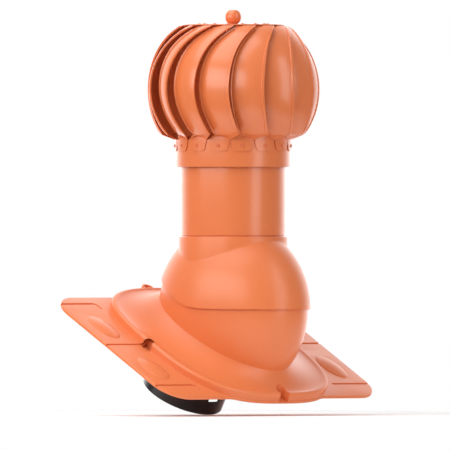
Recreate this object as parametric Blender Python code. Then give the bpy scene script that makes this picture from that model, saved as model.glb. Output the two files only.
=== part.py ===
"""Rotating chimney cowl for a pitched roof, built in Blender 4.5.

Units are metres, +Z is up, X runs along the roof and +Y points up the slope.
The origin lies on the plate's underside, at the foot of the perpendicular
from the centre of the ball joint. "Slope" coordinates are (across, downslope,
height above the plate's top face).
"""
import math

import bmesh
import bpy
from mathutils import Matrix, Vector

# Fits
GAP = 0.0003                       # between pieces that touch

# Roof and plate
ROOF_PITCH = math.radians(30.0)
PLATE_WIDTH = 0.461
PLATE_DOWN_LENGTH = 0.1495         # from the origin down the slope and up it
PLATE_UP_LENGTH = 0.1530
PLATE_CORNER = 0.045
PLATE_THICK = 0.0045
PLATE_EDGE_ROUND = 0.0012
GROOVE_WIDTH = 0.0046
GROOVE_DEPTH = 0.0022
GROOVE_START = 0.153               # distance from the middle line
GROOVE_PITCH = 0.1230
GROOVE_SHIFT = -0.0102             # middle groove, down the slope
PAD_SPACING_WIDTH = 0.386          # between the centres of the four oval bumps
PAD_SPACING_LENGTH = 0.124
PAD_LENGTH = 0.070
PAD_WIDTH = 0.041
PAD_HEIGHT = 0.0045
MOULDING_WALL = 0.003

# Raised seat round the ball
SEAT_ACROSS = 0.1546               # half sizes of its outline
SEAT_ALONG = 0.1623
SEAT_SQUARENESS = 3.0
SEAT_LIP = 0.0015                  # ledge left where the seat passes the plate
SEAT_WALL_HEIGHT = 0.0085
SEAT_BEAD_HEIGHT = 0.0125
SEAT_VALLEY_HEIGHT = 0.0115
SEAT_TOP_HEIGHT = 0.0322
NOTCH_WIDTH = 0.0195
NOTCH_FLOOR = -0.0018
SIDE_NOTCH_LENGTH = 0.0095         # how far each drain slot cuts into the seat
SIDE_NOTCH_HEIGHT = 0.0150         # of its arch above the plate
FRONT_NOTCH_LENGTH = 0.0185
FRONT_NOTCH_HEIGHT = 0.0210
NOTCH_OVERSHOOT = 0.0040
NOTCH_WALL = 0.0020                # of the pocket that closes each slot inside
NOTCH_SETBACK = 0.0018
NOTCH_SKIN = 0.0014
EYE_OFFSET = 0.0142                # fixing eye's middle, from the seat's upslope end
EYE_SINK = 0.0018                  # of its root into the seat
EYE_RADIUS = 0.0105
EYE_BORE_RADIUS = 0.0072
EYE_HEIGHT = 0.0040
EYE_SIDES = 20
SEAT_STEPS = (3, 4, 3, 4)          # per quarter: side, corner, end, front

# Ball joint
BALL_HEIGHT = 0.0660               # centre above the plate's top face
BALL_ACROSS = 0.0950               # half sizes of the lower ball
BALL_ROUND = 0.1307
BALL_MOUTH_ANGLE = math.radians(37.0)
HOOD_CLEAR = 0.0009
HOOD_CLEAR_ACROSS = 0.0015
HOOD_WALL = 0.0030
HOOD_CUT_SLOPE = 0.52              # of the hood's rear lower edge
HOOD_CUT_START = 0.0037
HOOD_CUT_BLEND = 0.022
HOOD_SIDES = 48

# Pipe and its socket on the hood
PIPE_RADIUS = 0.0800
PIPE_WALL = 0.0015
PIPE_FOOT = 0.0940                 # heights above the ball's centre
PIPE_TOP = 0.2350
SOCKET_WALL = 0.0025
SOCKET_TOP = 0.1118
SOCKET_EDGE_ROUND = 0.0004
PIPE_SIDES = 36

# Duct spigot under the plate
SPIGOT_RADIUS = 0.0647
SPIGOT_WALL = 0.0025
SPIGOT_UPSLOPE = 0.031
SPIGOT_REACH = 0.1006              # lower end below the plate's top face
SPIGOT_GRIP = 0.012                # upper end above the plate's top face
WINDOW_WIDTH = 0.0215
WINDOW_HEIGHT = 0.0100
WINDOW_SILL = 0.0220

# Turbine
BLADE_COUNT = 15
BLADE_PHASE = math.radians(-114.0)
BLADE_THICK = 0.0010
BLADE_COLUMNS = 2
GLOBE_HEIGHT = 0.3376              # heights above the ball's centre
GLOBE_RADIUS = 0.1306
GLOBE_HALF_HEIGHT = 0.1255
BLADE_TOP = 0.0970                 # heights from the globe's middle
BLADE_BOTTOM = 0.0690
BLADE_INSET = 0.0158               # how far its inner edge lies inside the globe
BLADE_INSET_SLOPE = 0.055
BLADE_LAG = math.radians(24.0)     # angle from lip to inner edge
BLADE_LAG_TOP = math.radians(5.0)
BLADE_CROWN = 0.0020
LIP_SWEEP_UP = math.radians(13.4)
LIP_SWEEP_UP_END = math.radians(18.3)
LIP_SWEEP_DOWN = math.radians(16.5)
SWEEP_LENGTH = 0.100
TAB_ANGLE = math.radians(-12.0)    # tab's middle, from the lip
TAB_HALF_ANGLE = math.radians(11.7)
TAB_FOLD_RISE = 0.0060
TAB_FOLD_HEIGHT = 0.2603
TAB_LENGTH = 0.0172
RIVET_HEIGHT = 0.2512
RIVET_RADIUS = 0.0030
RIVET_HEAD = 0.0019
RIVET_SIDES = 6
UPPER_RIVET_CIRCLE = 0.0528
UPPER_TAB_END = 0.0440
UPPER_TAB_ANGLE = math.radians(13.0)
RING_RADIUS = 0.0876
RING_WALL = 0.0015
RING_FOOT = 0.2189
RING_TOP = 0.2600
RING_SIDES = 45
DISC_RADIUS = 0.0780
DISC_THICK = 0.0016
KNOB_RADIUS = 0.0125
KNOB_FLAT = 0.0020
KNOB_NECK = 0.0070
KNOB_STEM = 0.0010
SPINDLE_RADIUS = 0.0050
SPINDLE_TAIL = 0.0040              # below the hub
HUB_RADIUS = 0.0130
HUB_FOOT = 0.1950
HUB_TOP = 0.2200
HUB_CLEAR = 0.0006
BRIDGE_ARMS = 3
BRIDGE_ARM_WIDTH = 0.0120
BRIDGE_ARM_THICK = 0.0030

# Directions and places that follow
UP_FROM_ROOF = Vector((0.0, -math.sin(ROOF_PITCH), math.cos(ROOF_PITCH)))
DOWN_SLOPE = Vector((0.0, -math.cos(ROOF_PITCH), -math.sin(ROOF_PITCH)))
ACROSS = Vector((1.0, 0.0, 0.0))
BALL_CENTRE = UP_FROM_ROOF * (BALL_HEIGHT + PLATE_THICK)
SOCKET_RADIUS = PIPE_RADIUS + GAP + SOCKET_WALL
TAB_FACET = math.cos(TAB_HALF_ANGLE / BLADE_COLUMNS)     # keeps its flats off the ring
TAB_RADIUS = (RING_RADIUS + GAP + BLADE_THICK / 2) / TAB_FACET
DISC_FOOT = GLOBE_HEIGHT + BLADE_TOP + BLADE_THICK / 2 + GAP
SPIGOT_BORE = SPIGOT_RADIUS + GAP


def clear_scene():
    """Remove every object, so that the model starts from nothing."""
    for obj in list(bpy.data.objects):
        bpy.data.objects.remove(obj, do_unlink=True)


def slope_point(across, down, height):
    """World place of a point given in slope coordinates."""
    return ACROSS * across + DOWN_SLOPE * down + UP_FROM_ROOF * (height + PLATE_THICK)


def lerp(a, b, t):
    """Value or vector at share t between a and b."""
    return a + (b - a) * t


def ring_angles(count):
    """Evenly spaced angles round a full turn."""
    return [2.0 * math.pi * i / count for i in range(count)]


def make_material(name, colour, roughness, metallic):
    """Plain Principled material."""
    material = bpy.data.materials.new(name)
    material.use_nodes = True
    shader = material.node_tree.nodes["Principled BSDF"]
    shader.inputs["Base Color"].default_value = (*colour, 1.0)
    shader.inputs["Roughness"].default_value = roughness
    shader.inputs["Metallic"].default_value = metallic
    return material


def add_object(name, mesh, material, parent=None):
    """Put a mesh in the scene, shaded smooth, under a parent empty."""
    mesh.shade_smooth()
    mesh.set_sharp_from_angle(angle=math.radians(35.0))
    mesh.materials.append(material)
    obj = bpy.data.objects.new(name, mesh)
    bpy.context.scene.collection.objects.link(obj)
    if parent is not None:
        obj.parent = parent
        obj.matrix_parent_inverse = Matrix.Translation(-parent.location)
    return obj


def finish_mesh(name, bm):
    """Turn a closed bmesh into a mesh with its faces pointing out."""
    bmesh.ops.recalc_face_normals(bm, faces=bm.faces[:])
    mesh = bpy.data.meshes.new(name)
    bm.to_mesh(mesh)
    bm.free()
    return mesh


def loft_mesh(name, rings, closed=False):
    """Skin a list of equal rings: closed on itself, or capped at both ends."""
    bm = bmesh.new()
    loops = [[bm.verts.new(point) for point in ring] for ring in rings]
    pairs = list(zip(loops, loops[1:]))
    if closed:
        pairs.append((loops[-1], loops[0]))
    for low, high in pairs:
        count = len(low)
        for i in range(count):
            j = (i + 1) % count
            bm.faces.new((low[i], low[j], high[j], high[i]))
    if not closed:
        bm.faces.new(loops[0])
        bm.faces.new(loops[-1])
    return finish_mesh(name, bm)


def turned_mesh(name, profile, sides, centre, closed=True):
    """Turn a profile of (radius, height) pairs round the vertical axis."""
    rings = []
    for radius, height in profile:
        rings.append([
            centre + Vector((radius * math.cos(a), radius * math.sin(a), height))
            for a in ring_angles(sides)
        ])
    return loft_mesh(name, rings, closed)


def tube_profile(outer, wall, foot, top):
    """Section of a plain tube."""
    inner = outer - wall
    return [(outer, foot), (outer, top), (inner, top), (inner, foot)]


def box_mesh(name, size, place, turn):
    """Closed box of a size, turned and placed."""
    bm = bmesh.new()
    matrix = Matrix.Translation(place) @ turn @ Matrix.Diagonal((*size, 1.0))
    bmesh.ops.create_cube(bm, size=1.0, matrix=matrix)
    return finish_mesh(name, bm)


def add_tool(name, mesh):
    """Cutter or filler, left out of the finished model."""
    obj = bpy.data.objects.new(name, mesh)
    bpy.context.scene.collection.objects.link(obj)
    obj.hide_render = True
    obj.display_type = "WIRE"
    return obj


def combine(obj, tool, operation):
    """Boolean modifier on obj."""
    modifier = obj.modifiers.new(tool.name, "BOOLEAN")
    modifier.operation = operation
    modifier.object = tool
    modifier.solver = "EXACT"


def slope_turn():
    """Rotation that lays a box's axes along across, down and up from the roof."""
    return Matrix((
        (ACROSS.x, DOWN_SLOPE.x, UP_FROM_ROOF.x, 0.0),
        (ACROSS.y, DOWN_SLOPE.y, UP_FROM_ROOF.y, 0.0),
        (ACROSS.z, DOWN_SLOPE.z, UP_FROM_ROOF.z, 0.0),
        (0.0, 0.0, 0.0, 1.0),
    ))


# Base moulding: plate, seat and lower ball

def superellipse_radius(angle, half_a, half_b, power):
    """Distance from the middle to a superellipse in one direction."""
    a = abs(math.cos(angle) / half_a) ** power
    b = abs(math.sin(angle) / half_b) ** power
    return (a + b) ** (-1.0 / power)


def plate_half_length(angle):
    """How far the plate reaches up or down the slope, on the side that the angle points to."""
    return PLATE_DOWN_LENGTH if math.sin(angle) > 0 else PLATE_UP_LENGTH


def plate_radius(angle):
    """Distance from the middle to the rounded plate's edge in one direction."""
    half_a = PLATE_WIDTH / 2
    half_b = plate_half_length(angle)
    c = abs(math.cos(angle))
    s = abs(math.sin(angle))
    reach = min(half_a / max(c, 1e-9), half_b / max(s, 1e-9))
    core_a = half_a - PLATE_CORNER
    core_b = half_b - PLATE_CORNER
    if reach * c > core_a and reach * s > core_b:
        middle = core_a * c + core_b * s
        rest = core_a ** 2 + core_b ** 2 - PLATE_CORNER ** 2
        reach = middle + math.sqrt(max(middle ** 2 - rest, 0.0))
    return reach


def seat_radius(angle):
    """Distance from the middle to the seat's outline."""
    return superellipse_radius(angle, SEAT_ACROSS, SEAT_ALONG, SEAT_SQUARENESS)


def plate_ring(height, inset=0.0):
    """Outline of plate and seat together at a height."""
    ring = []
    for angle in base_angles():
        reach = max(plate_radius(angle), seat_radius(angle) + SEAT_LIP) - inset
        ring.append(slope_point(reach * math.cos(angle), reach * math.sin(angle), height))
    return ring


def quarter_angles(half_b):
    """Angles over a quarter turn, with one at each end of the plate's corner arc."""
    half_a = PLATE_WIDTH / 2
    corner_end = math.atan2(half_b, half_a - PLATE_CORNER)
    past = 1 - (half_b / SEAT_ALONG) ** SEAT_SQUARENESS
    if past > 0:
        # The seat reaches past the plate, so one ring angle lies where their edges cross.
        meet = math.atan2(half_b, SEAT_ACROSS * past ** (1 / SEAT_SQUARENESS))
    else:
        meet = lerp(corner_end, math.pi / 2, 0.5)
    stops = (0.0, math.atan2(half_b - PLATE_CORNER, half_a), corner_end, meet, math.pi / 2)
    angles = []
    for start, end, steps in zip(stops, stops[1:], SEAT_STEPS):
        angles += [lerp(start, end, i / steps) for i in range(steps)]
    return angles


def base_angles():
    """Angles of the base's rings, first its downslope half and then the upslope one."""
    angles = []
    for turn, half_b in ((0.0, PLATE_DOWN_LENGTH), (math.pi, PLATE_UP_LENGTH)):
        quarter = quarter_angles(half_b)
        half = quarter + [math.pi / 2] + [math.pi - a for a in reversed(quarter[1:])]
        angles += [a + turn for a in half]
    return angles


def junction_half_sizes(height, shrink=0.0):
    """Half sizes of the ball's section by a plane parallel to the roof."""
    below = BALL_HEIGHT - height
    share = math.sqrt(1.0 - (below / (BALL_ROUND - shrink)) ** 2)
    return (BALL_ACROSS - shrink) * share, (BALL_ROUND - shrink) * share


def seat_ring(share, height, shrink=0.0):
    """Ring at a share of the way from the seat's outline to the ball."""
    half_a, half_b = junction_half_sizes(SEAT_TOP_HEIGHT, shrink)
    ring = []
    for angle in base_angles():
        outer = seat_radius(angle)
        inner = superellipse_radius(angle, half_a, half_b, 2.0)
        reach = lerp(outer, inner, share)
        ring.append(slope_point(reach * math.cos(angle), reach * math.sin(angle), height))
    return ring


def seat_rise(share):
    """Height of the seat's top between its valley and the ball."""
    valley = 0.20
    if share <= valley:
        return SEAT_VALLEY_HEIGHT
    run = (share - valley) / (1.0 - valley)
    return SEAT_VALLEY_HEIGHT + (SEAT_TOP_HEIGHT - SEAT_VALLEY_HEIGHT) * run ** 1.9


def ball_rings(shrink, steps):
    """Rings over the ball from its seat up to the level mouth."""
    across = BALL_ACROSS - shrink
    radius = BALL_ROUND - shrink
    low = -(BALL_HEIGHT - SEAT_TOP_HEIGHT) / radius
    high = math.sin(BALL_MOUTH_ANGLE) * BALL_ROUND / radius
    rings = []
    for step in range(1, steps + 1):
        ring = []
        for angle in base_angles():
            start = sphere_direction(angle, low, DOWN_SLOPE, UP_FROM_ROOF)
            end = sphere_direction(angle, high, Vector((0.0, -1.0, 0.0)), Vector((0.0, 0.0, 1.0)))
            unit = start.slerp(end, step / steps)
            ring.append(BALL_CENTRE + Vector((unit.x * across, unit.y * radius, unit.z * radius)))
        rings.append(ring)
    return rings


def sphere_direction(angle, height, down, up):
    """Unit vector at a height along up, turned by angle from across to down."""
    # The ring's own angle is squeezed like the ellipse that it lies on.
    squeezed = math.atan2(math.sin(angle) / BALL_ROUND, math.cos(angle) / BALL_ACROSS)
    flat = math.sqrt(1.0 - height ** 2)
    return ACROSS * (math.cos(squeezed) * flat) + down * (math.sin(squeezed) * flat) + up * height


def spigot_ring(radius, height):
    """Ring round the spigot's axis."""
    return [
        slope_point(radius * math.cos(a), radius * math.sin(a) - SPIGOT_UPSLOPE, height)
        for a in base_angles()
    ]


def base_rings():
    """All rings of the base moulding, round its section and back to the start."""
    under = -PLATE_THICK
    wall = MOULDING_WALL
    rings = [
        plate_ring(under),
        plate_ring(-PLATE_EDGE_ROUND),
        plate_ring(0.0, PLATE_EDGE_ROUND),
        seat_ring(0.0, 0.0),
        seat_ring(0.0, SEAT_WALL_HEIGHT),
        seat_ring(0.03, lerp(SEAT_WALL_HEIGHT, SEAT_BEAD_HEIGHT, 0.75)),
        seat_ring(0.08, SEAT_BEAD_HEIGHT),
        seat_ring(0.14, lerp(SEAT_VALLEY_HEIGHT, SEAT_BEAD_HEIGHT, 0.4)),
    ]
    for share in (0.22, 0.42, 0.60, 0.76, 0.89, 1.0):
        rings.append(seat_ring(share, seat_rise(share)))
    rings += ball_rings(0.0, 5)
    rings += list(reversed(ball_rings(wall, 4)))
    half_a, half_b = junction_half_sizes(SEAT_TOP_HEIGHT, wall)
    rings.append([
        slope_point(
            superellipse_radius(a, half_a, half_b, 2.0) * math.cos(a),
            superellipse_radius(a, half_a, half_b, 2.0) * math.sin(a),
            SEAT_TOP_HEIGHT)
        for a in base_angles()
    ])
    boss = SPIGOT_BORE + wall
    rings += [
        spigot_ring(SPIGOT_BORE, SPIGOT_GRIP + GAP),
        spigot_ring(SPIGOT_BORE, under),
        spigot_ring(boss, under),
        spigot_ring(boss, SPIGOT_GRIP - wall),
        seat_ring(0.97, seat_rise(0.97) - 1.6 * wall),
        seat_ring(0.60, seat_rise(0.60) - wall),
        seat_ring(0.10, SEAT_WALL_HEIGHT - wall * 0.6),
        seat_ring(0.07, under),
    ]
    return rings


def groove_cutters():
    """Boxes that cut the six narrow grooves of the plate's wings."""
    tools = []
    length = PLATE_WIDTH / 2 - GROOVE_START + 2 * GROOVE_WIDTH
    for side in (-1, 1):
        for row in (-1, 0, 1):
            middle = side * (GROOVE_START + length / 2)
            place = slope_point(middle, GROOVE_SHIFT + row * GROOVE_PITCH, 0.0)
            size = (length, GROOVE_WIDTH, 2 * GROOVE_DEPTH)
            name = f"cut_groove_{side}_{row}"
            tools.append(add_tool(name, box_mesh(name, size, place, slope_turn())))
    return tools


def notch_places():
    """Each drain slot: its direction (across, downslope), the seat's wall, length and height."""
    return (
        (1.0, 0.0, SEAT_ACROSS, SIDE_NOTCH_LENGTH, SIDE_NOTCH_HEIGHT),
        (-1.0, 0.0, SEAT_ACROSS, SIDE_NOTCH_LENGTH, SIDE_NOTCH_HEIGHT),
        (0.0, 1.0, SEAT_ALONG, FRONT_NOTCH_LENGTH, FRONT_NOTCH_HEIGHT),
    )


def radial_mesh(name, across, down, stations):
    """Closed solid along one direction, from a section of (side, height) at each distance."""
    rings = []
    for distance, section in stations:
        rings.append([
            slope_point(across * distance - down * side, down * distance + across * side, height)
            for side, height in section
        ])
    return loft_mesh(name, rings)


def notch_cutters():
    """Arched cutters of the drain slots in the seat's wall."""
    tools = []
    half = NOTCH_WIDTH / 2
    for index, (across, down, reach, length, height) in enumerate(notch_places()):
        section = [(-half, NOTCH_FLOOR), (half, NOTCH_FLOOR)]
        for step in range(7):
            turn = math.pi * step / 6
            section.append((half * math.cos(turn), height - half * (1.0 - math.sin(turn))))
        far = reach + SEAT_LIP + NOTCH_OVERSHOOT
        name = f"cut_notch_{index}"
        mesh = radial_mesh(name, across, down, [(reach - length, section), (far, section)])
        tools.append(add_tool(name, mesh))
    return tools


def notch_pockets():
    """Blocks under the seat's skin that close each drain slot inside."""
    tools = []
    half = NOTCH_WIDTH / 2 + NOTCH_WALL
    foot = (NOTCH_FLOOR - PLATE_THICK) * 0.62
    junction = junction_half_sizes(SEAT_TOP_HEIGHT)
    for index, (across, down, reach, length, _) in enumerate(notch_places()):
        inner = junction[0] if across else junction[1]
        stations = []
        for step in range(5):
            distance = lerp(reach - length - NOTCH_WALL, reach - NOTCH_SETBACK, step / 4)
            top = seat_rise((reach - distance) / (reach - inner)) - NOTCH_SKIN
            stations.append((distance, [(-half, foot), (half, foot), (half, top), (-half, top)]))
        name = f"fill_pocket_{index}"
        tools.append(add_tool(name, radial_mesh(name, across, down, stations)))
    return tools


def fixing_eye():
    """Filler and bore of the fixing eye behind the seat's upslope end."""
    foot = -PLATE_THICK * 0.88
    root = SEAT_ALONG - EYE_SINK
    middle = SEAT_ALONG + EYE_OFFSET
    outline = [(-EYE_RADIUS, root), (EYE_RADIUS, root)]
    for step in range(EYE_SIDES // 2 + 1):
        turn = 2.0 * math.pi * step / EYE_SIDES
        outline.append((EYE_RADIUS * math.cos(turn), middle + EYE_RADIUS * math.sin(turn)))
    rings = [[slope_point(a, -b, height) for a, b in outline] for height in (foot, EYE_HEIGHT)]
    filler = add_tool("fill_eye", loft_mesh("fill_eye", rings))
    rings = [
        [
            slope_point(EYE_BORE_RADIUS * math.cos(a), EYE_BORE_RADIUS * math.sin(a) - middle, height)
            for a in ring_angles(EYE_SIDES)
        ]
        for height in (-2.0 * PLATE_THICK, 2.0 * EYE_HEIGHT)
    ]
    return filler, add_tool("cut_eye", loft_mesh("cut_eye", rings))


def pad_fillers():
    """Low oval bumps on the plate's wings."""
    tools = []
    for side in (-1, 1):
        for end in (-1, 1):
            rings = []
            for share, height in ((1.11, -PLATE_THICK / 2), (0.86, 0.62), (0.6, 0.9), (0.25, 1.0)):
                rise = height * PAD_HEIGHT if height > 0 else height
                rings.append([
                    slope_point(
                        side * PAD_SPACING_WIDTH / 2 + share * PAD_WIDTH / 2 * math.cos(a),
                        end * PAD_SPACING_LENGTH / 2 + share * PAD_LENGTH / 2 * math.sin(a),
                        rise)
                    for a in ring_angles(20)
                ])
            name = f"fill_pad_{side}_{end}"
            tools.append(add_tool(name, loft_mesh(name, rings)))
    return tools


def build_base(material, parent):
    """Plate, seat and lower ball as one moulding."""
    base = add_object("base_plate", loft_mesh("base_plate", base_rings(), closed=True), material, parent)
    eye, eye_bore = fixing_eye()
    for tool in pad_fillers() + notch_pockets() + [eye]:
        combine(base, tool, "UNION")
    for tool in groove_cutters() + notch_cutters() + [eye_bore]:
        combine(base, tool, "DIFFERENCE")
    return base


def build_spigot(material, parent):
    """Duct spigot under the plate, with its window on the downslope side."""
    inner = SPIGOT_RADIUS - SPIGOT_WALL
    rings = []
    for radius, height in (
        (SPIGOT_RADIUS, -SPIGOT_REACH), (SPIGOT_RADIUS, SPIGOT_GRIP),
        (inner, SPIGOT_GRIP), (inner, -SPIGOT_REACH),
    ):
        rings.append([
            slope_point(radius * math.cos(a), radius * math.sin(a) - SPIGOT_UPSLOPE, height)
            for a in ring_angles(PIPE_SIDES)
        ])
    spigot = add_object("duct_spigot", loft_mesh("duct_spigot", rings, closed=True), material, parent)
    place = slope_point(
        0.0, SPIGOT_RADIUS - SPIGOT_UPSLOPE,
        -SPIGOT_REACH + WINDOW_SILL + WINDOW_HEIGHT / 2)
    size = (WINDOW_WIDTH, 8 * SPIGOT_WALL, WINDOW_HEIGHT)
    window = add_tool("cut_window", box_mesh("cut_window", size, place, slope_turn()))
    combine(spigot, window, "DIFFERENCE")
    return spigot


# Hood and pipe

def cut_height(y):
    """Height of the hood's lower edge: level in front, rising to the rear."""
    run = y - HOOD_CUT_START
    return HOOD_CUT_SLOPE * (run + math.sqrt(run ** 2 + HOOD_CUT_BLEND ** 2)) / 2


def hood_edge_share(reach, sine, radius):
    """Share of the reach at which the hood's lower edge lies in one direction."""
    low = 0.3
    high = 1.0
    for _ in range(40):
        middle = (low + high) / 2
        height = radius * math.sqrt(1.0 - middle ** 2)
        if height > cut_height(middle * reach * sine):
            low = middle
        else:
            high = middle
    return (low + high) / 2


def hood_rings(across, radius, collar, steps):
    """Rings over the hood from its lower edge to the collar's radius."""
    rings = [[] for _ in range(steps + 1)]
    for angle in ring_angles(HOOD_SIDES):
        reach = superellipse_radius(angle, across, radius, 2.0)
        first = math.asin(min(hood_edge_share(reach, math.sin(angle), radius), 1.0))
        last = math.asin(collar / reach)
        for step in range(steps + 1):
            polar = lerp(first, last, step / steps)
            out = reach * math.sin(polar)
            height = radius * math.cos(polar)
            rings[step].append(BALL_CENTRE + Vector((
                out * math.cos(angle), out * math.sin(angle), height)))
    return rings


def build_hood(material, parent):
    """Upper half of the ball joint with the pipe's socket."""
    inner_across = BALL_ACROSS + HOOD_CLEAR_ACROSS
    inner_radius = BALL_ROUND + HOOD_CLEAR
    outer = hood_rings(inner_across + HOOD_WALL, inner_radius + HOOD_WALL, SOCKET_RADIUS, 6)
    bore = PIPE_RADIUS + GAP
    inner = hood_rings(inner_across, inner_radius, bore, 6)

    def socket_ring(radius, height):
        return [
            BALL_CENTRE + Vector((radius * math.cos(a), radius * math.sin(a), height))
            for a in ring_angles(HOOD_SIDES)
        ]

    rings = outer
    rings.append(socket_ring(SOCKET_RADIUS, SOCKET_TOP - SOCKET_EDGE_ROUND))
    rings.append(socket_ring(SOCKET_RADIUS - SOCKET_EDGE_ROUND, SOCKET_TOP))
    rings.append(socket_ring(bore, SOCKET_TOP))
    rings += list(reversed(inner))
    return add_object("hood", loft_mesh("hood", rings, closed=True), material, parent)


def build_pipe(material, parent):
    """Fixed pipe between hood and turbine."""
    profile = tube_profile(PIPE_RADIUS, PIPE_WALL, PIPE_FOOT, PIPE_TOP)
    return add_object("pipe", turned_mesh("pipe", profile, PIPE_SIDES, BALL_CENTRE), material, parent)


def build_bridge(material, parent):
    """Three-armed bearing bridge in the pipe, with the hub that the spindle turns in."""
    bore = SPINDLE_RADIUS + HUB_CLEAR
    profile = tube_profile(HUB_RADIUS, HUB_RADIUS - bore, HUB_FOOT, HUB_TOP)
    bridge = add_object(
        "bearing_bridge", turned_mesh("bearing_bridge", profile, 24, BALL_CENTRE), material, parent)
    pipe_bore = PIPE_RADIUS - PIPE_WALL
    inner_end = (bore + HUB_RADIUS) / 2
    outer_end = math.sqrt((pipe_bore - GAP) ** 2 - (BRIDGE_ARM_WIDTH / 2) ** 2) - GAP
    for index in range(BRIDGE_ARMS):
        angle = 2.0 * math.pi * index / BRIDGE_ARMS + math.pi / 2
        middle = (inner_end + outer_end) / 2
        place = BALL_CENTRE + Vector((
            middle * math.cos(angle), middle * math.sin(angle), (HUB_FOOT + HUB_TOP) / 2))
        size = (outer_end - inner_end, BRIDGE_ARM_THICK, BRIDGE_ARM_WIDTH)
        name = f"fill_arm_{index}"
        mesh = box_mesh(name, size, place, Matrix.Rotation(angle, 4, "Z"))
        combine(bridge, add_tool(name, mesh), "UNION")
    return bridge


# Turbine

def globe_radius(height):
    """Radius of the globe that the lips lie on, at a height from its middle."""
    return GLOBE_RADIUS * math.sqrt(1.0 - (height / GLOBE_HALF_HEIGHT) ** 2)


def lip_sweep(height):
    """Angle by which the lip runs ahead of its place at the globe's middle."""
    run = abs(height) / SWEEP_LENGTH
    if height > 0:
        return LIP_SWEEP_UP * run ** 2 + LIP_SWEEP_UP_END * run ** 6
    return LIP_SWEEP_DOWN * run ** 2


def blade_body_point(height, share):
    """Radius, angle and height on the curved blade, share 0 inner edge to 1 lip."""
    outer = globe_radius(height)
    inner = outer - (BLADE_INSET - BLADE_INSET_SLOPE * height)
    lag = BLADE_LAG
    if height > 0:
        lag -= BLADE_LAG_TOP * (height / BLADE_TOP) ** 4
    radius = lerp(inner, outer, share) + BLADE_CROWN * 4.0 * share * (1.0 - share)
    return radius, lip_sweep(height) - lag * (1.0 - share), GLOBE_HEIGHT + height


def lower_tab_point(step, share):
    """Point of the riveted lower tab, step 0 at its end to 3 at the fold."""
    widths = (0.50, 0.74, 0.88, 1.0)
    drops = (1.0, 0.88, 0.5, 0.0)
    side = 2.0 * share - 1.0
    angle = TAB_ANGLE + TAB_HALF_ANGLE * widths[step] * side
    rise = TAB_FOLD_RISE * (1.0 - side ** 2) * (1.0 if step == 3 else 0.0)
    return TAB_RADIUS, angle, TAB_FOLD_HEIGHT - TAB_LENGTH * drops[step] + rise


def upper_tab_point(step, share):
    """Point of the upper tab under the disc, step 0 at its root to 1 at its end."""
    root_radius, root_angle, root_height = blade_body_point(BLADE_TOP, share)
    middle = lip_sweep(BLADE_TOP) - (BLADE_LAG - BLADE_LAG_TOP) / 2
    end_angle = middle + UPPER_TAB_ANGLE * (share - 0.5)
    run = (0.35, 1.0)[step]
    radius = lerp(min(root_radius, DISC_RADIUS), UPPER_TAB_END, run)
    return radius, lerp(root_angle, end_angle, run), root_height


def blade_grid(columns):
    """Rows of points (radius, angle, height) from the lower tab to the upper tab."""
    shares = [i / columns for i in range(columns + 1)]
    rows = [[lower_tab_point(step, s) for s in shares] for step in range(4)]
    heights = [-BLADE_BOTTOM * down for down in (1.0, 0.72, 0.36, 0.0)]
    heights += [BLADE_TOP * up for up in (0.28, 0.54, 0.75, 0.905, 1.0)]
    rows += [[blade_body_point(h, s) for s in shares] for h in heights]
    rows += [[upper_tab_point(step, s) for s in shares] for step in range(2)]
    return rows


def blade_mesh(name, turn, columns=BLADE_COLUMNS):
    """Closed thin solid of one blade."""
    centre = BALL_CENTRE
    rows = []
    for row in blade_grid(columns):
        rows.append([
            centre + Vector((r * math.cos(a + turn), r * math.sin(a + turn), z)) for r, a, z in row
        ])
    count_rows = len(rows)
    count_columns = columns + 1
    bm = bmesh.new()
    outer = []
    inner = []
    for i in range(count_rows):
        outer_row = []
        inner_row = []
        for j in range(count_columns):
            along = rows[min(i + 1, count_rows - 1)][j] - rows[max(i - 1, 0)][j]
            side = rows[i][min(j + 1, columns)] - rows[i][max(j - 1, 0)]
            normal = side.cross(along).normalized()
            outer_row.append(bm.verts.new(rows[i][j] + normal * BLADE_THICK / 2))
            inner_row.append(bm.verts.new(rows[i][j] - normal * BLADE_THICK / 2))
        outer.append(outer_row)
        inner.append(inner_row)
    for i in range(count_rows - 1):
        for j in range(columns):
            bm.faces.new((outer[i][j], outer[i][j + 1], outer[i + 1][j + 1], outer[i + 1][j]))
            bm.faces.new((inner[i][j], inner[i + 1][j], inner[i + 1][j + 1], inner[i][j + 1]))
        for j in (0, columns):
            bm.faces.new((outer[i][j], outer[i + 1][j], inner[i + 1][j], inner[i][j]))
    for i in (0, count_rows - 1):
        for j in range(columns):
            bm.faces.new((outer[i][j], outer[i][j + 1], inner[i][j + 1], inner[i][j]))
    return finish_mesh(name, bm)


def rivet_mesh(name, place, outward):
    """Low domed rivet head that faces outward."""
    side = outward.orthogonal().normalized()
    other = outward.cross(side)
    rings = []
    for radius, height in ((1.0, 0.0), (0.6, 1.0)):
        rings.append([
            place + outward * (height * RIVET_HEAD)
            + (side * math.cos(a) + other * math.sin(a)) * (radius * RIVET_RADIUS)
            for a in ring_angles(RIVET_SIDES)
        ])
    return loft_mesh(name, rings)


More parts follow.
